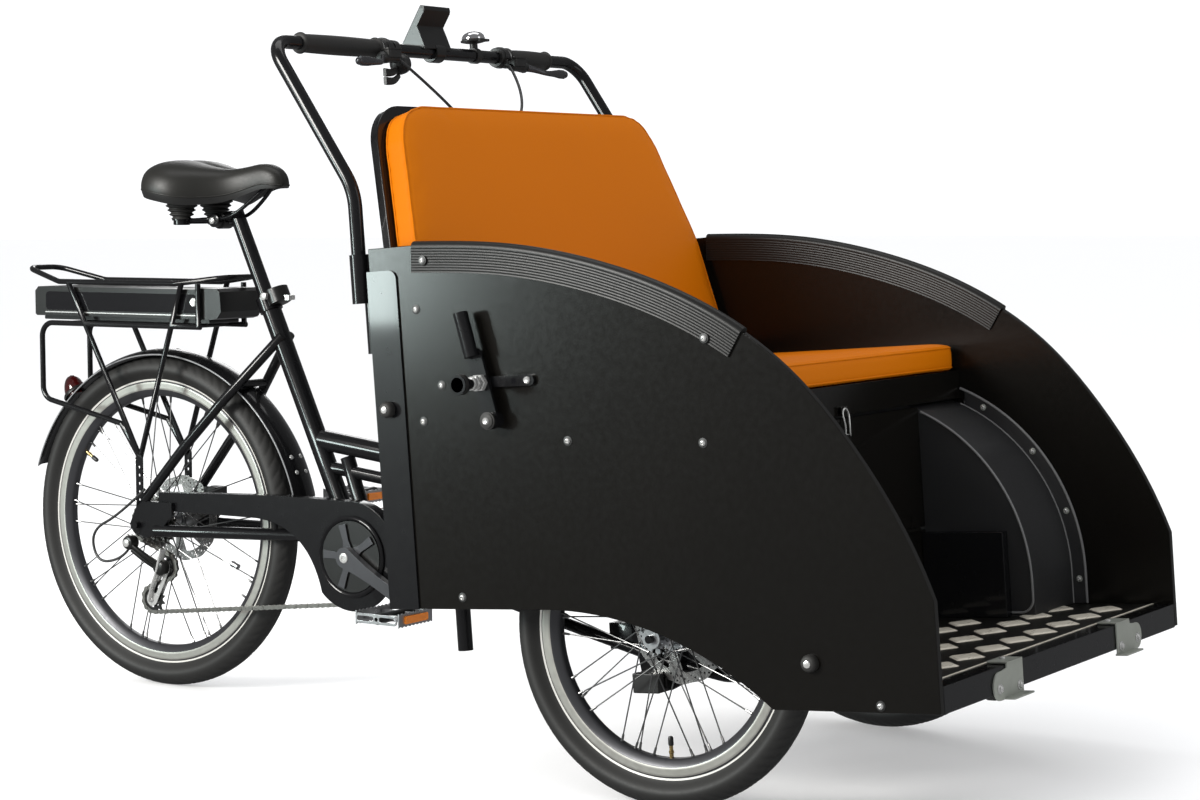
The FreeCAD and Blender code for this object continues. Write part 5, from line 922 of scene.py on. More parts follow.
def welt(shell, path, radius, up):
    """A piping on the pad's surface: each place of the path is moved to the nearest point of the pad."""
    points, faces, zones = shell
    tree = BVHTree.FromPolygons(points.tolist(), faces.tolist())
    onto = array([tree.find_nearest(Vector(p))[0] for p in path])
    for smoothing in range(8):
        onto = (np.roll(onto, 1, 0) + 2 * onto + np.roll(onto, -1, 0)) / 4
    onto = onto[np.linalg.norm(onto - np.roll(onto, 1, 0), axis=1) > 0.4]
    return tube(onto, radius, 8, up, closed=True)


def cushion(name, node, shell, loops, limits, place, up):
    points, faces, zones = blown_up(shell)
    shell = (np.clip(points, *limits), faces, zones)
    pad = piece(name, node, shell, LEATHERETTE, place, smooth=180)
    smooth = pad.modifiers.new("smooth", "SUBSURF")
    smooth.levels = smooth.render_levels = 1
    welts = joined(*[welt(shell, loop, 1.7, up) for loop in loops])
    extra(name + "_welt", node, welts, LEATHERETTE, place, smooth=60)


print("cushion helpers ready")

# %% [markdown]
# ## The back cushion
# Its outline is upright to a third of its height, then draws in to rounded top corners. It leans
# back by 15 degrees from a line above the seat board, so it is drawn as (thickness, across, height)
# and turned about that line.

# %% Back cushion
BACK_LEAN, BACK_FOOT = math.radians(15), (-322.0, 639.0)


def on_back(points):
    """Thickness and height are turned by the lean about the foot line, then placed in the box."""
    p = array(points)
    x = BACK_FOOT[0] + p[..., 0] * math.cos(BACK_LEAN) - p[..., 2] * math.sin(BACK_LEAN)
    z = BACK_FOOT[1] + p[..., 0] * math.sin(BACK_LEAN) + p[..., 2] * math.cos(BACK_LEAN)
    return in_box(np.stack([x, p[..., 1], z], -1))


def back_outline(inset, count=15):
    """Across and height: foot corners, upright sides to 218, then inward to corners of radius 60."""
    wide, narrow, knee, top, corner = 420 - inset, 360 - inset, 218, 446 - inset, 60 - inset
    slope = (wide - narrow) / (top - knee)
    shoulder, crown = (narrow + slope * corner, top - corner), (narrow - corner, top)
    bow = (narrow - corner * 0.24, top - corner * 0.27)
    turn = flowing([shoulder, bow, crown], 12)
    foot = 8 + inset
    base = [(wide - 14, foot), (wide - 4, foot + 4), (wide, foot + 14)]
    side = np.linspace((wide, foot + 40), (wide, knee), 6)
    lean = np.linspace((wide, knee), shoulder, 10)[1:-1]
    over = np.linspace(crown, (0, top), count)[1:-1]
    half = np.concatenate([np.linspace((0, foot), base[0], count), base[1:], side, lean, turn, over])
    return np.concatenate([half, (half * (-1, 1))[::-1]])


def dense(loop):
    """An outline with every side cut in four."""
    return np.concatenate([np.linspace(a, b, 5)[:-1] for a, b in zip(loop, np.roll(loop, -1, 0))])


def swapped(shell, order):
    """A shell with two of its axes exchanged, its faces turned back to face outward."""
    points, faces, zones = shell
    return points[:, order], faces[:, ::-1], zones


loop = back_outline(3.0)
loop = loop[np.linalg.norm(loop - np.roll(loop, 1, 0), axis=1) > 0.5]
start = swapped(plate([loop], 2.0, 42.0), [1, 0, 2])
rim_loops = [np.insert(dense(back_outline(1.5)), 0, at, axis=1) for at in (42.0, 4.0)]
cushion("back_pad", "back_cushion", start, rim_loops, ((0.4, -421, 7.5), (47, 421, 447.5)), on_back, (1, 0, 0))

# %% [markdown]
# ## The seat cushion
# A slab between the two sides, its corners rounded, flat underneath. The welts run along its upper
# and lower edges.

# %% Seat cushion
SEAT_REAR, SEAT_FRONT, SEAT_HALF, SEAT_LOW, SEAT_HIGH = -269.0, 158.0, 422.0, 595.4, 639.2


def seat_outline(inset):
    """Forward and across, with round corners."""
    length, width = SEAT_FRONT - SEAT_REAR - 2 * inset, 2 * (SEAT_HALF - inset)
    return rounded(length, width, 20 - inset, 5, ((SEAT_FRONT + SEAT_REAR) / 2, 0))


start = swapped(plate([seat_outline(3.0)], SEAT_LOW + 2, SEAT_HIGH - 2), [0, 2, 1])
rim_loops = [np.insert(dense(dense(seat_outline(1.5))), 2, z, axis=1) for z in (SEAT_HIGH - 2, SEAT_LOW + 4)]
limits = ((SEAT_REAR, -SEAT_HALF - 1, SEAT_LOW), (SEAT_FRONT + 2, SEAT_HALF + 1, SEAT_HIGH + 3))
cushion("seat_pad", "seat_cushion", start, rim_loops, limits, in_box, (0, 0, 1))

# %% [markdown]
# ## Edge trims
# A ribbed rubber channel is pressed over each panel's curved edge. One section, a thick U whose
# outer walls carry fine ribs, is carried along the same edge curve that the panel was cut to.

# %% Edge trims
EDGE_SHARES = [(0, 0), (0.2, 0.027), (0.4, 0.098), (0.6, 0.226), (0.75, 0.389), (0.866, 0.6),
               (0.956, 0.834), (1, 1)]
EDGE_START, EDGE_TOP, EDGE_SPAN, EDGE_FALL, TRIM_END = -325.0, 853.0, 830.0, 537.0, 236.0


def trim_section():
    """Rise and across of a U: ribs are a cosine along the outer walls, the crown is a half circle."""
    rise = np.linspace(-41, -4, 46)
    out = 9.7 + 0.28 * np.cos(rise * 2 * math.pi / 4.1)
    turn = np.linspace(-math.pi / 2, math.pi / 2, 15)[1:-1]
    crown = polar(9.8, turn, (-3.6, 0))
    right, left = np.stack([rise, -out], -1), np.stack([rise[::-1], out[::-1]], -1)
    slot = array([(-41, 6.25), (0.1, 6.25), (0.1, -6.25), (-41, -6.25)])
    return np.concatenate([right, crown, left, slot])


edge = flowing([(EDGE_START + EDGE_SPAN * x, EDGE_TOP - EDGE_FALL * z) for x, z in EDGE_SHARES], 400)
edge = edge[edge[:, 0] <= TRIM_END][::3]
trim = swept(np.insert(edge, 1, -434.0, axis=1), trim_section() * (1, -1), up=(0, 1, 0))
pair("edge_trim_{}_ribbed", "edge_trim_{}", trim, RIBBED, True, smooth=50)
print("trim length (mm):", round(float(np.linalg.norm(np.diff(edge, axis=0), axis=1).sum())))

# %% [markdown]
# ## Piping on the wheel arches
# The moulded arches have a pale piping pressed into the edge between their side and their crown,
# and another along the flange that is screwed to the panel. Each is a thin tube along a path of
# straight runs and an arc about the wheel.

# %% Arch piping
ARCH_X, ARCH_Z, ARCH_R = 19.5, 253.3, 314.0


def arch_path(radius, across, rear, foot, corner=0.0):
    """From the seat down round the arch to the floor, then back along the foot if a corner is given."""
    last = math.acos((rear - ARCH_X) / radius)
    arc = round_axle(radius, np.linspace(last, 0, 60), across, (ARCH_X, ARCH_Z))
    front = ARCH_X + radius
    if not corner:
        return np.concatenate([arc, [(front, across, (ARCH_Z + foot) / 2), (front, across, foot)]])
    round_off = round_axle(corner, -np.linspace(0, math.pi / 2, 8), across, (front - corner, foot + corner))
    return np.concatenate([arc, round_off, [(rear + 40, across, foot), (rear + 2, across, foot)]])


piping = joined(tube(arch_path(ARCH_R - 2.5, -269.2, 152, 206, 22), 2.0, 8),
                tube(arch_path(ARCH_R + 24, -424.5, 152, 202), 2.2, 8),
                tube(arch_path(ARCH_R + 0.6, -423.0, 152, 202), 1.4, 8))
pair("wheel_arch_{}_piping", "wheel_arch_{}", piping, PIPING)
print("arch piping: 2")

# %% [markdown]
# ## Tread plate
# The floor is a dark sheet with rows of bright raised bars, each a slanted lozenge with bevelled
# sides, and a bright front edge. One bar is made once and repeated over a regular grid, and the
# bars that would leave the sheet are left out.

# %% Tread plate
FLOOR_TOP = 200.0


def slab(loops, low, high, zones=0):
    """A plate lying flat: outlines in x and y, from z = low to z = high."""
    return swapped(plate(loops, low, high, zones), [0, 2, 1])


def bar_shell(rise=1.9, bevel=5.0):
    """A skewed lozenge at four heights, drawn in by a bevel: grow is how much smaller each one is."""
    corners = array([(-29, 0), (-3, 38), (29, 3), (3, -38)])
    sides = [corners + share * (np.roll(corners, -1, 0) - corners) for share in (0.06, 0.5, 0.94)]
    flat = np.concatenate(sides)[[0, 4, 8, 1, 5, 9, 2, 6, 10, 3, 7, 11]]
    heights = ((33, -0.6), (0, -0.6), (0, 0.2), (bevel, rise), (bevel + 4, rise + 0.2), (33, rise + 0.2))
    rows = [np.insert(flat * (1 - grow / 33), 2, z, axis=1) for grow, z in heights]
    return skin(np.stack(rows), around=True)


rows, columns = np.meshgrid(np.arange(4), np.arange(-4, 5), indexing="ij")
bar_x = (166 + rows * 83.5).ravel()
bar_y = (8 + columns * 87.0).ravel()
inside = np.abs(bar_y) < np.where(bar_x < 312, 225, 384)
spots = np.stack([bar_x, bar_y, np.full_like(bar_x, FLOOR_TOP + 0.2)], -1)[inside]
bars = repeated(bar_shell(), [np.eye(3)], spots)
lip = plate([rounded(4, 1.4, 0.6, 3, (469, FLOOR_TOP + 0.4))], -427.0, 427.0)
extra("tread_bars", "floor_plate", joined(bars, lip), ALUMINIUM, smooth=20)
print("tread bars:", len(spots))

# %% [markdown]
# ## Screws, bumpers and bolts on the box
# A handful of round-headed screws with black washers hold the trims and panels. Each is a small
# turned profile with a socket, repeated at named places, facing outward. They ride with the nose
# brackets.

# %% Fasteners
FACE = 440.0
SMALL = "nose_brackets"


def screw(head=4.6, washer=7.5):
    """A washer in zone 0 and a domed head with a round socket in zone 1, along +y."""
    base = turned([(0, washer), (0.9, washer - 0.3), (1.2, head)], 20, zones=0)
    dome = turned([(1.0, head), (1.8, head), (3.2, head * 0.86), (4.0, head * 0.55), (4.1, head * 0.42),
                   (2.4, head * 0.40)], 18, zones=1)
    return joined(base, dome)


def level_spot(x, z, across):
    """A place named level, turned into the box's own axes."""
    return (x * math.cos(PITCH) + z * math.sin(PITCH), across, z * math.cos(PITCH) - x * math.sin(PITCH))


SCREWS = [(-383, 729), (-336, 616), (-109, 543), (120, 551), (-300, 298), (401, 205), (-370, 560)]
TRIM_SCREWS = [(-366, 803), (125, 699)]
outward = about((0, 0, 1), 180)
spots = [level_spot(x, z, -FACE) for x, z in SCREWS] + [level_spot(x, z, -FACE - 6) for x, z in TRIM_SCREWS]
both = joined(repeated(screw(), [outward], spots),
              repeated(screw(), [np.eye(3)], [(x, -FACE + 12, z) for x, y, z in spots[:6]]))
pair("panel_screws_{}", SMALL, both, [PLASTIC, STEEL], smooth=40)

bumper = joined(turned([(0, 12.5), (6, 12.5), (10, 11), (12, 8)], 28, zones=0),
                turned([(11, 5.5), (13.2, 5.3), (14, 3.5)], 18, zones=1))
bumpers = repeated(bumper, [outward], [level_spot(293, 254, -FACE), level_spot(-432, 576, -FACE - 6)])
pair("side_bumpers_{}", SMALL, bumpers, [GRIP, STEEL], smooth=40)
print("screws:", 2 * len(spots), "bumpers:", 4)

# %% Rivets, nose brackets and latch
spots = round_axle(327, np.radians([58, 38, 18, -2]), -423.6, (ARCH_X, ARCH_Z))
spots[:, 2] = np.maximum(spots[:, 2], 222)
pair("arch_screws_{}", SMALL, repeated(screw(3.6, 5.5), [np.eye(3)], spots), [ZINC, STEEL], smooth=40)


def facing_forward(shell, across=-226, front=505.6):
    """A sheet drawn in (outward, height) is stood across the nose: y = across - outward."""
    points, faces, zones = shell
    return settled(np.stack([front + points[:, 1], across - points[:, 0], points[:, 2]], -1), faces, zones)


def bracket_shell():
    """The right one: a face with an ear that is a half circle, a top tab, a foot lip, a buffer and bolts."""
    ear = polar(20.5, math.pi / 2 - np.linspace(0, math.pi, 13), (29, 173.5))
    face = np.concatenate([[(-50, 154), (-50, 204), (2, 204), (4, 196), (22, 194)], ear, [(20, 153)]])
    sheet = facing_forward(plate([face], 0, 2.6))
    tab = slab([rounded(34, 50, 4, 3, (492, -202))], 201.4, 204)
    foot = slab([rounded(20, 68, 2, 2, (514, -208))], 153, 155.4)
    buffer = facing_forward(turned([(-15, 13), (-14, 19), (-3, 19.5), (-1, 18)], 36, (33, 0, 173.5), zones=1))
    bolt = turned([(0, 7.5), (1, 7.5), (1.4, 5), (4, 4.6), (5, 3)], 20, zones=2)
    bolts = [facing_forward(moved(bolt, (a, 2.6, z))) for a, z in ((31, 170), (-36, 166))]
    head = turned([(0, 5), (2, 4.4), (2.6, 2.5)], 18, (486, -196, 204), (0, 0, 1), zones=2)
    return joined(sheet, tab, foot, buffer, *bolts, head)


bracket = bracket_shell()
piece("nose_brackets_eared", SMALL, joined(bracket, mirrored(bracket)), [ZINC, GRIP, STEEL], smooth=35,
      soft=0.5)

# A toggle latch: body, lever and wire loop ride on the hatch, and the keeper on the box.
face_forward = about((0, 0, 1), -90)
wire = [(-8, 9, 4), (-8, 9, 30), (-8, 7, 46), (0, 7, 51), (8, 7, 46), (8, 9, 30), (8, 9, 4)]
latch = joined(plate([rounded(30, 34, 3, 3)], 0, 3), plate([rounded(20, 30, 6, 4, (0, -4))], 4, 8),
               tube(flowing(wire, 40), 1.4, 8))
keeper = plate([rounded(24, 14, 3, 3, (0, 48))], 0, 6)
extra("hatch_latch", "seat_hatch", moved(latch, (150, 0, 508), face_forward), STEEL, slot="zinc", smooth=35)
extra("latch_keeper", SMALL, moved(keeper, (150, 0, 507), face_forward), STEEL, smooth=35)

# %% [markdown]
# ## Grips, levers, bell and display
# Everything on the bar is drawn about the bar's own axis. The left lever is the right one's mirror
# image, moved over, because the bar's two ends are not the same length.

# %% Bar fittings
BAR_X, BAR_Z = -582.0, 1190.0
UP = (0, 0, 1)


def on_bar(profile, start, way, zones=0, sides=36):
    """A profile turned about the bar, from a place across, outward or inward."""
    return turned(profile, sides, (BAR_X, start, BAR_Z), (0, way, 0), zones=zones)


def ball(centre, radius, sides=20, zones=0):
    """A half circle turned about z: radius * (cos, sin) of its latitude."""
    lift = np.linspace(-math.pi / 2, math.pi / 2, sides // 2)
    profile = polar(radius, lift)[:, ::-1] + (0, 1e-3)
    return turned(profile, sides, centre, UP, zones=zones)


def grip_shell(outer, inner):
    """An end flange, a palm that swells by a half sine, an inner flange and a silver ring."""
    length, way = abs(inner - outer), math.copysign(1, inner - outer)
    at = np.linspace(8, length - 11, 40)
    palm = np.stack([at, 14.7 + 1.1 * np.sin(math.pi * (at - 8) / (length - 19))], -1)
    rubber = np.concatenate([[(0, 10), (0.8, 14), (2.6, 16.6), (5, 17.4), (6.6, 16.6)], palm,
                             [(length - 9.6, 17.2), (length - 7, 18.2), (length - 4.5, 17.4),
                              (length - 3.6, 15.4)]])
    ring = [(length - 3.6, 13.5), (length - 3.4, 15.6), (length - 0.4, 15.6), (length, 13.5)]
    return joined(on_bar(rubber, outer, way), on_bar(ring, outer, way, 1))


def lever_shell():
    """The right lever: clamp, perch, reservoir with its lid, a blade that thins and thickens, a ball."""
    clamp = on_bar([(0, 12), (0, 16.2), (1.2, 17), (24.8, 17), (26, 16.2), (26, 12)], -130.8, -1)
    strap = on_bar([(9, 12), (9, 18), (10, 18.8), (17, 18.8), (18, 18), (18, 12)], -130.8, -1)
    arm = tube(flowing([(-577, -146, 1186), (-566, -147, 1178), (-556, -149, 1173)], 9), 8.5, 18)
    perch = knob([(0, 5), (1.5, 8), (24, 8.4), (30, 9.5), (42, 9.5), (46, 7)], (-556, 1172), -139.8, 24)
    tank = slab([rounded(18, 34, 4, 4, (-553, -156.8))], 1172, 1184.4)
    lid = slab([rounded(19.6, 35.6, 4.6, 4, (-553, -156.8))], 1185, 1187.4)
    caps = [turned([(0, 2.4), (1, 2.2), (1.2, 1)], 12, (-553, y, 1187.2), UP, zones=1) for y in (-144.6, -169)]
    line = flowing([(-556, -178, 1172), (-546, -191, 1168), (-533.5, -212, 1161), (-530.5, -236, 1160),
                    (-532, -268, 1160)], 44)
    share = np.linspace(0, 1, 44)
    thick = 1.2 - 0.5 * np.sin(math.pi * np.minimum(share * 1.2, 1)) + 0.06 * share
    blade = swept(line, ring_section(6.4, 20) * (0.56, 1), UP, scale=thick, zones=1)
    pivot = turned([(0, 3), (1, 4.2), (19, 4.2), (20, 3)], 16, (-556, -178, 1162), UP, zones=1)
    bolt = turned([(0, 3.6), (2.5, 3.6), (3.4, 2.4)], 16, (-569, -143.8, 1195), unit((1, 0, 0.7)), zones=1)
    tip = ball((-532, -270.5, 1160), 6.8, zones=1)
    return joined(clamp, strap, arm, perch, tank, lid, *caps, blade, pivot, bolt, tip)


def shifter_shell():
    """The gear shifter under the right lever: a rounded pod, its clamp and two thumb paddles."""
    pod = turned([(0, 9), (3, 15), (9, 17.5), (20, 17), (27, 12), (29, 6)], 32, (-570, -104, 1168),
                 (0.25, -1, -0.25))
    clamp = on_bar([(0, 12), (0, 15.4), (1, 16), (13, 16), (14, 15.4), (14, 12)], -112, -1)
    line = flowing([(-566, -124, 1160), (-560, -146, 1150), (-556, -176, 1148)], 16)
    paddle = swept(line, rounded(5, 12, 2, 3), UP, scale=np.linspace(0.8, 1.15, 16))
    return joined(pod, clamp, paddle, moved(paddle, (0, 0, -14)))


piece("hand_grips_flanged", "hand_grips", joined(grip_shell(-360, -157), grip_shell(335, 204)), [GRIP, STEEL],
      smooth=50)
lever = lever_shell()
levers = joined(lever, moved(mirrored(lever), (0, 47, 0)), shifter_shell())
piece("brake_levers_bladed", "brake_levers", levers, [PLASTIC, LEVER_METAL], smooth=45)

dome_turn = np.linspace(0, math.pi / 2, 12)
dome = np.stack([3.4 + 14.5 * np.sin(dome_turn), 20.5 * np.cos(dome_turn) ** 0.75 + 1e-3], -1)
bell_at = (BAR_X, 116, BAR_Z + 25)
bell = joined(turned([(-14, 7), (-4, 7), (-3, 14), (-1, 22), (1.6, 22.4), (2.4, 21)], 36, bell_at, UP),
              turned(np.concatenate([[(1.5, 18.4)], dome]), 40, bell_at, UP, zones=1),
              on_bar([(0, 12), (0, 13.6), (14, 13.6), (14, 12)], 109, 1),
              slab([rounded(9, 26, 3, 3, (BAR_X + 22, 116))], BAR_Z + 23, BAR_Z + 27))
piece("bell_domed", "bell", bell, [PLASTIC, CHROME], smooth=40, soft=0.3)

# %% Display
SCREEN_FOOT, SCREEN_HEAD = array((-38, 11)), array((9.5, 77))
slope = unit(SCREEN_HEAD - SCREEN_FOOT)
outward_slope = array((-slope[1], slope[0]))


def on_slope(along, out):
    """A place on the display's face: foot + along * slope + out * normal."""
    return array((BAR_X, BAR_Z)) + SCREEN_FOOT + along * slope + out * outward_slope


shell_loop = array([(-38, 11), (-30, 4), (8, 1), (14.5, 5), (7, 26), (0, 44), (9, 57), (17.8, 69), (16.5, 76),
                    (9.5, 77.5)]) + (BAR_X, BAR_Z)
inner_loop = (shell_loop - shell_loop.mean(0)) * 0.9 + shell_loop.mean(0)
# The cheeks wear zone 2, the lighter blue-grey of a painted sheen.
cheeks = [plate([inner_loop], low, high, 2) for low, high in ((-44.8, -43), (29, 30.8))]
glass = plate([[on_slope(*spot) for spot in ((8, -1), (75, -1), (75, 0.7), (8, 0.7))]], -40, 26, 1)
arm_loop = array([(-15, 0), (-13, 14), (13, 12), (15, 0)]) + (BAR_X, BAR_Z)
arms = [plate([arm_loop], y - 3, y + 3) for y in (-10, 10)]
ring = on_bar([(0, 12), (0, 16), (1, 17), (25, 17), (26, 16), (26, 12)], 13, -1)
keys = [turned([(-1, 4.4), (0.6, 4.2), (1.2, 3)], 16, np.insert(on_slope(4.2, 0), 1, y),
               np.insert(outward_slope, 1, 0), zones=1) for y in (-27, -7, 13)]
piece("display_wedge", "display_unit", joined(plate([shell_loop], -44, 30), *cheeks, glass, *arms, ring, *keys),
      [SATIN_BLACK, GLASS_BLACK, DISPLAY_SIDE_SHEEN], smooth=35, soft=1.4)

# %% [markdown]
# ## Saddle
# Rows run from tail to nose, and each row is one section: a half curve from the crown over the
# shoulder to the skirt and back under, mirrored. Width, top line and depth are smooth curves along
# the saddle, and a shallow groove, a bell curve across, is pressed into the middle.

# %% Saddle
SADDLE_LINES = [(-1268, 52, 931, 22), (-1262, 84, 951, 44), (-1242, 107, 965, 66), (-1212, 112.3, 967, 74),
                (-1180, 104, 961, 74), (-1146, 76, 954, 68), (-1110, 47, 951, 60), (-1070, 31, 956, 52),
                (-1036, 25, 958, 44), (-1012, 19.5, 947, 32), (-1001, 10, 930, 12)]
HALF_SECTION = [(0, 0), (0.34, 0.015), (0.64, 0.09), (0.88, 0.27), (0.99, 0.56), (1.0, 0.8), (0.95, 1.0)]
UNDER_SECTION = [(0.95, 1.0), (0.86, 0.97), (0.5, 0.86), (0, 0.82)]


def saddle_shell():
    """x, half width, top and depth go along; the section's shares times these give y and z.

    The hem is a thin tube where the cover ends, four fifths of the way down.
    """
    lines = flowing(SADDLE_LINES, 76)
    half = np.concatenate([flowing(HALF_SECTION, 26), flowing(UNDER_SECTION, 12)[1:]])
    section = np.concatenate([half, (half * (-1, 1))[-2:0:-1]])
    x, wide, top, deep = (lines[:, i:i + 1] for i in range(4))
    y, drop = wide * section[:, 0], deep * section[:, 1]
    long_groove = np.clip(np.sin(math.pi * (x + 1245) / 190), 0, 1) * (x < -1055)
    groove = 5.0 * long_groove * np.exp(-(y / 9.5) ** 2) * (section[:, 1] < 0.3)
    points = np.stack([np.broadcast_to(x, y.shape), y, top - drop - groove], -1)
    ends = [np.broadcast_to(points[i].mean(0), points[:1].shape) for i in (0, -1)]
    seam = lines[:, 2] - lines[:, 3] * 0.8
    under = lambda centres: (np.interp(centres[:, 0], lines[:, 0], seam) > centres[:, 2]).astype(int)
    half_hem = np.stack([lines[:, 0], lines[:, 1] * 0.992, seam], -1)[2:-1]
    hem = tube(np.concatenate([half_hem, (half_hem * (1, -1, 1))[::-1]]), 1.5, 8, UP, closed=True)
    return skin(np.concatenate([ends[0], points, ends[1]]), around=True, zones=under), hem


saddle_body, hem = saddle_shell()
saddle = piece("saddle_padded", "saddle", saddle_body, [VINYL, PLASTIC], on_ground, smooth=70)
extra("saddle_hem", "saddle", hem, VINYL, on_ground, smooth=60)


def carrier_shell():
    """Rails from the bellows' feet to the nose, a clamp on the post's head, and two coned bellows."""
    rail = flowing([(-1212, -45, 866), (-1200, -44, 861), (-1172, -30, 860), (-1148, -22, 861),
                    (-1112, -21, 866), (-1080, -18, 884), (-1052, -13, 906), (-1036, -9, 920)], 60)
    at = np.linspace(0, 31, 62)
    folds = np.stack([at, 16.5 + 13.2 * at / 31 + 2.3 * np.cos(at * 2 * math.pi / 7.75)], -1)
    cone = turned(folds, 36, (-1205, -46, 861), UP, zones=1)
    foot = turned([(0, 13), (1, 15), (8, 15), (8.4, 17.5), (11.4, 17.5), (11.8, 15)], 32, (-1205, -46, 850), UP)
    cap = turned([(0, 31), (3, 31), (5, 29)], 36, (-1205, -46, 892), UP)
    cross_line = [(-1205, -46, 857), (-1188, -20, 857), (-1183, 0, 857), (-1188, 20, 857), (-1205, 46, 857)]
    cross = tube(flowing(cross_line, 24), 5, 12, UP)
    clamp = turned([(-29, 9), (-28, 12), (-14, 12), (-13, 15), (13, 15), (14, 12), (28, 12), (29, 9)], 28,
                   (-1146, 0, 858))
    head = tube(flowing([(-1112, 0, 862), (-1126, 0, 864), (-1146, 0, 860)], 9), 11.5, 20)
    bolt = turned([(0, 6.4), (5, 6.4), (6, 5)], 6, (-1146, -28, 858), (0, -1, 0), zones=2)
    side = joined(tube(rail, 3.5, 12), cone, foot, cap, bolt)
    return joined(side, mirrored(side), cross, clamp, head)


piece("saddle_carrier_sprung", "saddle_carrier", carrier_shell(), [GLOSS, GRIP, STEEL], on_ground, smooth=50)
print("saddle points:", len(saddle_body[0]))

# %% [markdown]
# ## Chain and toothed wheels
# The chain's line is a belt round four circles. Between two circles it leaves and arrives where a
# common tangent touches both. The tangent's normal n satisfies n . u = (s1 r1 - s2 r2) / distance,
# where u points from one centre to the other and s is the side on which the belt wraps.

# %% Chain line
CHAIN_Y, LINK = -48.25, 12.7
CRANK, REAR, GUIDE, TENSION = (-808, 280), (-1295, 305), (-1253, 228), (-1285, 166)
RING_RADIUS, JOCKEY_RADIUS = 84.4, 24.4
# centre, radius and the side on which the belt wraps
BELT = [(CRANK, RING_RADIUS, 1), (REAR, 36.1, 1), (GUIDE, JOCKEY_RADIUS, -1), (TENSION, JOCKEY_RADIUS, 1)]


def belt_line(circles):
    """One place for each pin, evenly along arcs and tangents, closed, in x and z."""
    normals = []
    for (c1, r1, s1), (c2, r2, s2) in zip(circles, circles[1:] + circles[:1]):
        gap = array(c2) - c1
        far = np.linalg.norm(gap)
        u, share = gap / far, (s1 * r1 - s2 * r2) / far
        normals.append(share * u + math.sqrt(1 - share ** 2) * array((u[1], -u[0])))
    runs = []
    for i, (c, r, s) in enumerate(circles):
        first, last = (math.atan2(*(s * n)[::-1]) for n in (normals[i - 1], normals[i]))
        turn = first + s * np.linspace(0, (s * (last - first)) % (2 * math.pi), 200)
        runs.append(polar(r, turn, c))
    rough = np.concatenate(runs + [runs[0][:1]])
    reach = np.concatenate([[0], np.cumsum(np.linalg.norm(np.diff(rough, axis=0), axis=1))])
    count = 2 * round(reach[-1] / LINK / 2)
    at = np.linspace(0, reach[-1], count, endpoint=False)
    return np.stack([np.interp(at, reach, rough[:, i]) for i in (0, 1)], -1)


def link_loop(radius=4.2, waist=3.0, reach=LINK / 2):
    """Two arcs about the pins, drawn in between them."""
    end = polar(radius, np.linspace(-2.0, 2.0, 9), (reach, 0))
    return np.concatenate([end, [(0, waist)], -end, [(0, -waist)]])


pins = belt_line(BELT)
ahead = np.roll(pins, -1, 0) - pins
middles = np.insert(pins + ahead / 2, 1, CHAIN_Y, axis=1)
way = np.insert(unit(ahead), 1, 0, axis=1)
turns = np.stack([way, np.broadcast_to((0, 1.0, 0), way.shape), np.cross(way, (0, 1.0, 0))], -1)
plates = [plate([link_loop()], 1.5, 2.2), plate([link_loop(4.3)], 2.25, 2.95)]
inner, outer = (joined(one, mirrored(one)) for one in plates)
roller = turned([(-1.5, 3.8), (1.5, 3.8)], 12)
rivet = turned([(-3.4, 1.4), (-3.1, 1.8), (3.1, 1.8), (3.4, 1.4)], 8)
on_pins = np.insert(pins, 1, CHAIN_Y, axis=1)
chain = joined(repeated(inner, turns[::2], middles[::2]), repeated(outer, turns[1::2], middles[1::2]),
               repeated(joined(roller, rivet), [np.eye(3)], on_pins))
piece("drive_chain_links", "drive_chain", chain, CHAIN_STEEL, on_ground, smooth=35)
print("chain links:", len(pins))

# %% Toothed wheels
TOOTH = [(0, -3.9), (0.16, -3.4), (0.34, -0.2), (0.44, 2.4), (0.56, 2.4), (0.66, -0.2), (0.84, -3.4)]


def toothed(pitch_radius, phase=0.0):
    """An outline whose radius dips for each roller and rises between two of them."""
    teeth = max(round(2 * math.pi * pitch_radius / LINK), 8)
    share, lift = array(TOOTH).T
    turn = ((np.arange(teeth)[:, None] + share) * 2 * math.pi / teeth).ravel() + phase
    return polar(pitch_radius + np.tile(lift, teeth), turn)


COGS, LIGHTENED = 8, 5
cogs = []
for k in range(COGS):
    pitch_radius, at = 48 - 2.857 * k, -27 - 4.25 * k
    holes = windows(20, pitch_radius - 8, 6, 0.15) if k < LIGHTENED else []
    cogs.append(plate([toothed(pitch_radius, k * 0.21), circle(15, 24), *holes], at - 0.95, at + 0.95))
carrier = turned([(0, 15), (33, 15), (34, 19), (37, 19), (38, 13)], 40, (0, -23, 0), (0, -1, 0))
piece("rear_cassette_toothed", "rear_cassette", joined(*cogs, carrier), COG_STEEL, at_wheel(REAR_AXLE),
      smooth=30)


def jockey(centre):
    """A plastic wheel of twelve teeth with a metal bush."""
    wheel = plate([toothed(JOCKEY_RADIUS), circle(7, 20), *windows(10, 16, 5, 0.2)], -1.6, 1.6)
    bush = turned([(-4.8, 4.5), (-4, 6.5), (4, 6.5), (4.8, 4.5)], 20, zones=1)
    return moved(joined(wheel, bush), (centre[0], CHAIN_Y, centre[1]))


def stadium(a, b, radius, count=10):
    """The outline round two places."""
    a, b = array(a), array(b)
    base = math.atan2(*(b - a)[::-1])
    first, last = (np.linspace(base + s, base + s + math.pi, count) for s in (math.pi / 2, -math.pi / 2))
    return np.concatenate([polar(radius, first, a), polar(radius, last, b)])


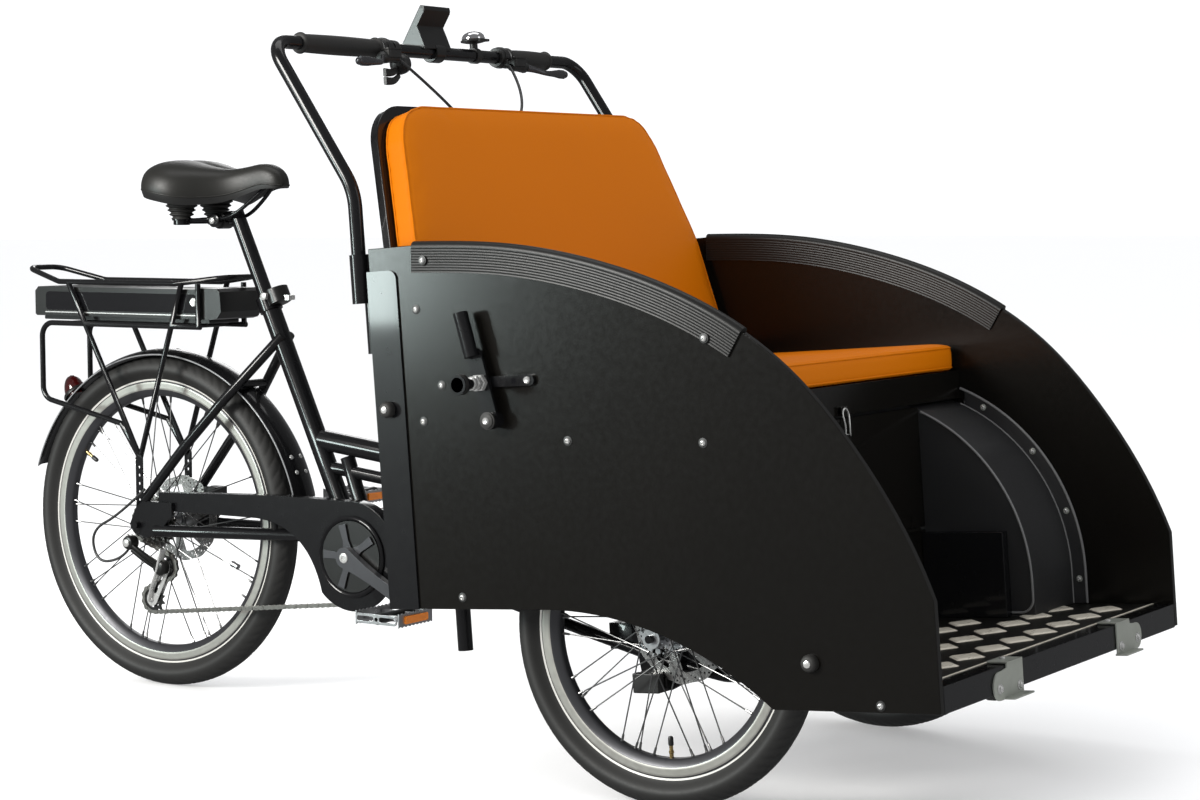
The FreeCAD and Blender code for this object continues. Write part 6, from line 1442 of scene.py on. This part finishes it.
def derailleur_shell():
    """Cage, fin, knuckle with its bolt and screws, two links, the body, and the jockeys."""
    slot = stadium((-1262, 210), (-1277, 182), 4.5)
    outline = [stadium(GUIDE, TENSION, 12.5), slot]
    cage = [plate(outline, CHAIN_Y + low, CHAIN_Y + low + 1.8, 1) for low in (3.6, -5.4)]
    line = [(-1246, -66, 262), (-1250, -68, 240), (-1262, -64, 214), (-1280, -58, 186), (-1288, -56, 162)]
    fin = swept(flowing(line, 30), rounded(5, 15, 2, 3), scale=np.linspace(1.1, 0.75, 30), zones=1)
    knuckle = knob([(0, 9), (1, 13), (14, 13.5), (19, 11), (20, 8)], KNUCKLE, -72.7)
    bolt = knob([(0, 7), (3, 7), (3.6, 6)], KNUCKLE, -92, 24, 1)
    link = swept(flowing([(-1305, -84, 266), (-1282, -78, 249), (-1256, -66, 231)], 14), rounded(7, 9, 2, 3))
    links = [moved(link, (0, dy, dz)) for dy, dz in ((-3, 5), (2, -7))]
    block = knob([(0, 10), (1, 14), (13, 15), (17, 12), (18, 9)], GUIDE, -54.5)
    screws = [turned([(0, 2.6), (2, 2.6), (2.4, 1.6)], 12, (x, -84, 285), UP, zones=1) for x in (-1313, -1304)]
    pin = knob([(0, 4), (4, 4), (5, 3)], TENSION, -53, 16, 1)
    return joined(jockey(GUIDE), jockey(TENSION), *cage, fin, knuckle, bolt, *links, block, *screws, pin)


KNUCKLE = (-1309, 272)
piece("rear_derailleur_caged", "rear_derailleur", derailleur_shell(), [SATIN_BLACK, STEEL], on_ground,
      smooth=35, soft=0.35)
print("cogs:", len(cogs), "jockey wheels: 2")

# %% [markdown]
# ## Crank and pedals
# The arm is an outline round boss and eye with hollow flanks, its edges well rounded. The chainring
# is toothed and held by five spokes. A pedal is a cage of serrated plates about a barrel, with an
# orange reflector let into its front and its back.

# %% Crank
EYE_RIGHT, EYE_LEFT = (-657.9, 0, 200.2), (-958.1, 0, 359.8)
ARM_TURN = math.atan2(EYE_RIGHT[2] - CRANK[1], EYE_RIGHT[0] - CRANK[0])


def arm_loop(boss=18.0, eye=13.0, reach=170.0, waist=10.5):
    """From boss to eye: each flank is a smooth curve that draws in between."""
    back = polar(boss, np.radians(np.linspace(75, 285, 14)))
    front = polar(eye, np.radians(np.linspace(-85, 85, 12)), (reach, 0))
    flank = flowing([back[-1], (reach * 0.22, -waist - 2.4), (reach * 0.6, -waist), front[0]], 16)[1:-1]
    return np.concatenate([back, flank, front, (flank * (1, -1))[::-1]])


def arm_shell(side):
    """One arm with its bolts, on the right (-1) or left (1)."""
    turn = about((0, 1, 0), -math.degrees(ARM_TURN if side < 0 else ARM_TURN + math.pi))
    low, high = sorted((side * 75, side * 89))
    out = (0, side, 0)
    bolt = turned([(0, 9), (1.2, 9), (2, 8), (2.2, 4), (0.6, 3.6)], 24, (0, side * 88.6, 0), out, zones=1)
    eye = turned([(0, 7.4), (1.2, 7.4), (1.6, 5)], 24, (170, side * 74.4, 0), (0, -side, 0), zones=1)
    axle = turned([(0, 8), (2, 8), (2.5, 5), (103, 4.6), (104, 3.6)], 20, (170, side * 89, 0), out, zones=1)
    return moved(joined(plate([arm_loop()], low, high), bolt, eye, axle), AT_CRANK, turn)


AT_CRANK = (CRANK[0], 0, CRANK[1])
spindle = turned([(-75, 9), (75, 9)], 28, AT_CRANK)
ring = plate([toothed(RING_RADIUS), circle(50, 60), *windows(58, 74, 5, 0.12, 12)], CHAIN_Y - 1.2,
             CHAIN_Y + 1.2)
spider_arm = [(15, -0.5), (24, -0.16), (58, -0.10), (60, 0.10), (24, 0.16)]
spider = plate([star(spider_arm, 0.31)], CHAIN_Y - 5.2, CHAIN_Y - 1.4)
wheel = moved(joined(ring, spider), AT_CRANK, zone=2)
piece("crank_set_forged", "crank_set", joined(arm_shell(-1), arm_shell(1), spindle, wheel),
      [CRANK_GREY, STEEL, COG_STEEL], on_ground, smooth=35, soft=1.2)

# %% Pedals
PEDAL_HALF, PEDAL_RISE = 46.0, 12.0


def serrated(start, stop, rise, teeth=9, depth=2.6):
    """A plate's outline whose upper and lower edges are cut into teeth."""
    at = np.linspace(start, stop, 2 * teeth + 1)
    upper = np.stack([at, rise - depth * (np.arange(2 * teeth + 1) % 2)], -1)
    return np.concatenate([upper, (upper * (1, -1))[::-1]])


def along_axle(loop, side, out, shift=0.0, zone=0):
    """A sheet drawn in (across, height), stood along the axle in front (1) or behind (-1)."""
    points, faces, zones = plate([loop], 0, out[1])
    stood = np.stack([side * (out[0] + points[:, 1]), points[:, 0] + shift, points[:, 2]], -1)
    return settled(stood, faces, zone)


def pedal_shell():
    """About the eye, the right one: y runs from -95 to -193."""
    length = 2 * PEDAL_HALF
    sides = [along_axle(serrated(-190, -98, PEDAL_RISE), side, (PEDAL_HALF - 3, 2.6)) for side in (-1, 1)]
    end = [rounded(length - 8, 17, 5, 4)] + [rounded(34, 8, 3, 3, (x, 0)) for x in (-23, 23)]
    ends = [plate(end, y, y + 2.6) for y in (-193, -99)]
    ribs = [slab([rounded(length - 6, 5, 1.5, 2, (0, y))], -5, 5) for y in (-168, -122)]
    barrel = knob([(0, 9), (2, 11), (14, 11), (30, 8.6), (70, 8.6), (84, 10), (92, 10), (95, 7)], (0, 0), -97,
                  28, 1)
    lamps = [along_axle(rounded(62, 13, 2.5, 3), side, (PEDAL_HALF - 0.8, 3.4), -144, 2) for side in (-1, 1)]
    return joined(*sides, *ends, *ribs, barrel, *lamps)


right_pedal = pedal_shell()
for name, shell, eye in (("right", right_pedal, EYE_RIGHT), ("left", mirrored(right_pedal), EYE_LEFT)):
    node = f"pedal_{name}"
    piece(node + "_cage", node, moved(shell, eye), [PEDAL_METAL, SATIN_BLACK, ORANGE_LENS], on_ground,
          smooth=35, soft=0.4)

# %% [markdown]
# ## Lamp, battery, case and fender fittings
# The battery is drawn as the photograph has it: a black case with a recessed glossy side, a bigger
# end block with a chamfered foot, and a base rail. The lamp is a dark teardrop on the fender.

# %% Rear fittings
FENDER_AT, FENDER_RADIUS = (-1283.0, 287.0), 336.0
LAMP_TURN, LAMP_LEAN = math.radians(134), math.radians(112)
lamp_at, lamp_out = round_axle(337, LAMP_TURN, 0, FENDER_AT), round_axle(1, LAMP_TURN)
lamp_up = round_axle(1, LAMP_LEAN)
share = np.linspace(0, 1, 14)
lens = np.stack([2 + 40 * share, 20.5 * np.sqrt(np.maximum(1 - share ** 2.2, 0)) + 1e-3], -1)
lamp = joined(turned([(0, 22), (0.5, 24), (5, 24), (7, 22.6), (8, 21)], 40, lamp_at, lamp_out),
              turned(lens, 40, lamp_at - 3 * lamp_up, lamp_up, zones=1))
piece("tail_lamp_domed", "tail_lamp", lamp, [PLASTIC, RED_LENS], on_ground, smooth=50)

case_loop = [(-1566, 684), (-1566, 727), (-1558, 735), (-1150, 735), (-1150, 681), (-1562, 681)]
block_loop = [(-1154, 681), (-1154, 737.5), (-1118, 737), (-1110, 731), (-1107, 696), (-1116, 684),
              (-1128, 681)]
battery = joined(plate([case_loop], -54, 54), plate([block_loop], -56, 56),
                 plate([rounded(372, 34, 8, 5, (-1352, 709))], -54.8, 54.8, 1),
                 plate([rounded(408, 7, 2, 2, (-1352, 677))], -40, 40),
                 plate([rounded(376, 2.2, 1, 2, (-1352, 688))], -55.1, 55.1, 2),
                 knob([(0, 8), (2, 8), (3, 6.6), (2.6, 2)], (-1172, 712), -54, 24, 2))
piece("battery_case_stepped", "battery_case", battery, [SATIN_BLACK, GLASS_BLACK, STEEL], on_ground, smooth=35,
      soft=2.0)

# A thin grey tube along each edge of the glossy fender is a painted highlight for the light the edge catches;
# the rivets beside it wear real steel.
edge_turn = np.linspace(math.radians(14.5), math.radians(160.5), 150)
edge_line = tube(round_axle(FENDER_RADIUS - 9.6, edge_turn, -29.2, FENDER_AT), 1.5, 8)
rivets = [turned([(0, 4.4), (1.6, 3.8), (2.4, 2)], 16, round_axle(FENDER_RADIUS - 1.8, turn, y, FENDER_AT),
                 round_axle(1, turn), zones=1) for turn in np.radians([22, 27, 88, 93, 150]) for y in (-12, 12)]
extra("fender_edge_line", "rear_fender", joined(edge_line, mirrored(edge_line), *rivets), [FENDER_EDGE_HIGHLIGHT, STEEL],
      on_ground, smooth=60)

case_face = (CRANK[0], -69, CRANK[1])
case_ring = joined(turned([(0, 63), (-1.6, 64.5), (-2.6, 67), (-1.6, 69.5), (0, 71)], 90, case_face,
                          closed=True),
                   turned([(0.2, 40), (-0.6, 62)], 72, case_face, zones=1))
extra("chain_case_ring", "chain_case", case_ring, [GLOSS, SATIN_BLACK], on_ground, smooth=40)
crank_star = plate([star([(16, -0.55), (30, -0.2), (58, -0.13), (58, 0.13), (30, 0.2)], 0.6)], -73.6, -71.2)
extra("crank_star", "crank_set", moved(crank_star, AT_CRANK), CRANK_GREY, on_ground, smooth=30, soft=0.6)

quick = flowing([(-1030, 24, 724), (-1042, 34, 726), (-1062, 42, 729), (-1084, 44, 731)], 20)
skewer = [(-30, 3), (-29, 6.5), (-22, 6.5), (-22, 3.4)]
clamp = joined(turned([(-14, 19), (-13, 21.5), (13, 21.5), (14, 19)], 36, (-1021, 0, 724), (-0.4147, 0, 0.91)),
               swept(quick, ring_section(5, 14, 0.5), scale=np.linspace(1.2, 0.8, 20), zones=1),
               plate([rounded(12, 9, 2, 3, (-996, 722))], -9, 9, 1),
               turned(skewer + [(-at, radius) for at, radius in skewer[::-1]], 20, (-1032, 0, 724), zones=1))
extra("seat_clamp", "seat_post", clamp, [SATIN_BLACK, STEEL], on_ground, smooth=45)
reflector = turned([(-9, 2), (-8, 5.5), (8, 5.5), (9, 2)], 18, (177, -14, -69), (177, 0, -69))
extra("spoke_reflector", "rear_hub", reflector, PEDAL_METAL, at_wheel(REAR_AXLE), smooth=40)


def hood_fittings():
    """The right side's: two hexagonal nuts and the knob on the plunger, screws at pivot and stay."""
    pin, pivot, stay = (-203, 641.5), (-190, 585), (-128, 641.5)
    head = [(0, 5.6), (2, 5.2), (3.4, 3.6), (3, 1.6)]
    return joined(knob([(0, 12.5), (1, 13.5), (8, 13.5), (9, 12)], pin, -458, 6),
                  knob([(0, 11), (1, 12), (6, 12), (7, 10.5)], pin, -470, 6),
                  knob([(0, 10), (8, 10), (9, 8.6)], pin, -476, 28),
                  knob([(0, 9), (2, 14), (4, 15.4), (10, 15.4), (12.6, 14.2), (13.4, 11)], pin, -503.6, 36, 1),
                  knob([(0, 13), (3, 13), (3.4, 11), (5, 11), (6, 9)], pivot, -463.6, 30, 1),
                  knob(head, pivot, -469.4, 20), knob(head, stay, -446, 20),
                  knob([(0, 4.6), (0.5, 4.4)], (-152, 641.5), -445.8, 18, 2))


pair("hood_fittings_{}", SMALL, hood_fittings(), [STEEL, GRIP, GLASS_BLACK], smooth=35)

# %% [markdown]
# ## Hoses and the gear cable
# Each hangs from the bar as one smooth line: a spline of order three over the same places the CAD
# tube was bent through, so that it cuts a little inside each corner, as a stiff sheath does.

# %% Cords
CORD_THICK = 0.005
HOSE_RIGHT = [(-0.556, -0.137, 1.172), (-0.500, -0.108, 1.110), (-0.478, -0.040, 1.040),
              (-0.424, -0.012, 0.950), (-0.370, -0.010, 0.747), (-0.3146, -0.010, 0.541)]
HOSE_LEFT = [(-0.556, 0.184, 1.172), (-0.500, 0.150, 1.110), (-0.478, 0.060, 1.040), (-0.424, 0.012, 0.950),
             (-0.370, 0.010, 0.747), (-0.3146, 0.010, 0.541)]
GEAR_CABLE = [(-1.270, -0.084, 0.372), (-1.330, -0.088, 0.322), (-1.396, -0.094, 0.290),
              (-1.380, -0.096, 0.232), (-1.326, -0.092, 0.240), (-1.309, -0.090, 0.258)]


def cord(name, node, route, place):
    """An open spline with a round bevel; its control points are the route's."""
    data = bpy.data.curves.new(name, "CURVE")
    data.dimensions = "3D"
    line = data.splines.new("NURBS")
    places = place(array(route) / MM)
    line.points.add(len(places) - 1)
    for point, spot in zip(line.points, places):
        point.co = (*spot, 1)
    line.order_u = 3
    line.use_endpoint_u = True
    line.resolution_u = 24
    data.bevel_depth, data.bevel_resolution, data.use_fill_caps = CORD_THICK / 2, 5, True
    data.materials.append(CABLE)
    obj = bpy.data.objects.new(name, data)
    bpy.context.scene.collection.objects.link(obj)
    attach(obj, BODY_OF[node])
    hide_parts(node)


cord("brake_hose_right", "brake_hoses", HOSE_RIGHT, in_box)
cord("brake_hose_left", "brake_hoses", HOSE_LEFT, in_box)
cord("gear_cable_loop", "shift_cable", GEAR_CABLE, on_ground)
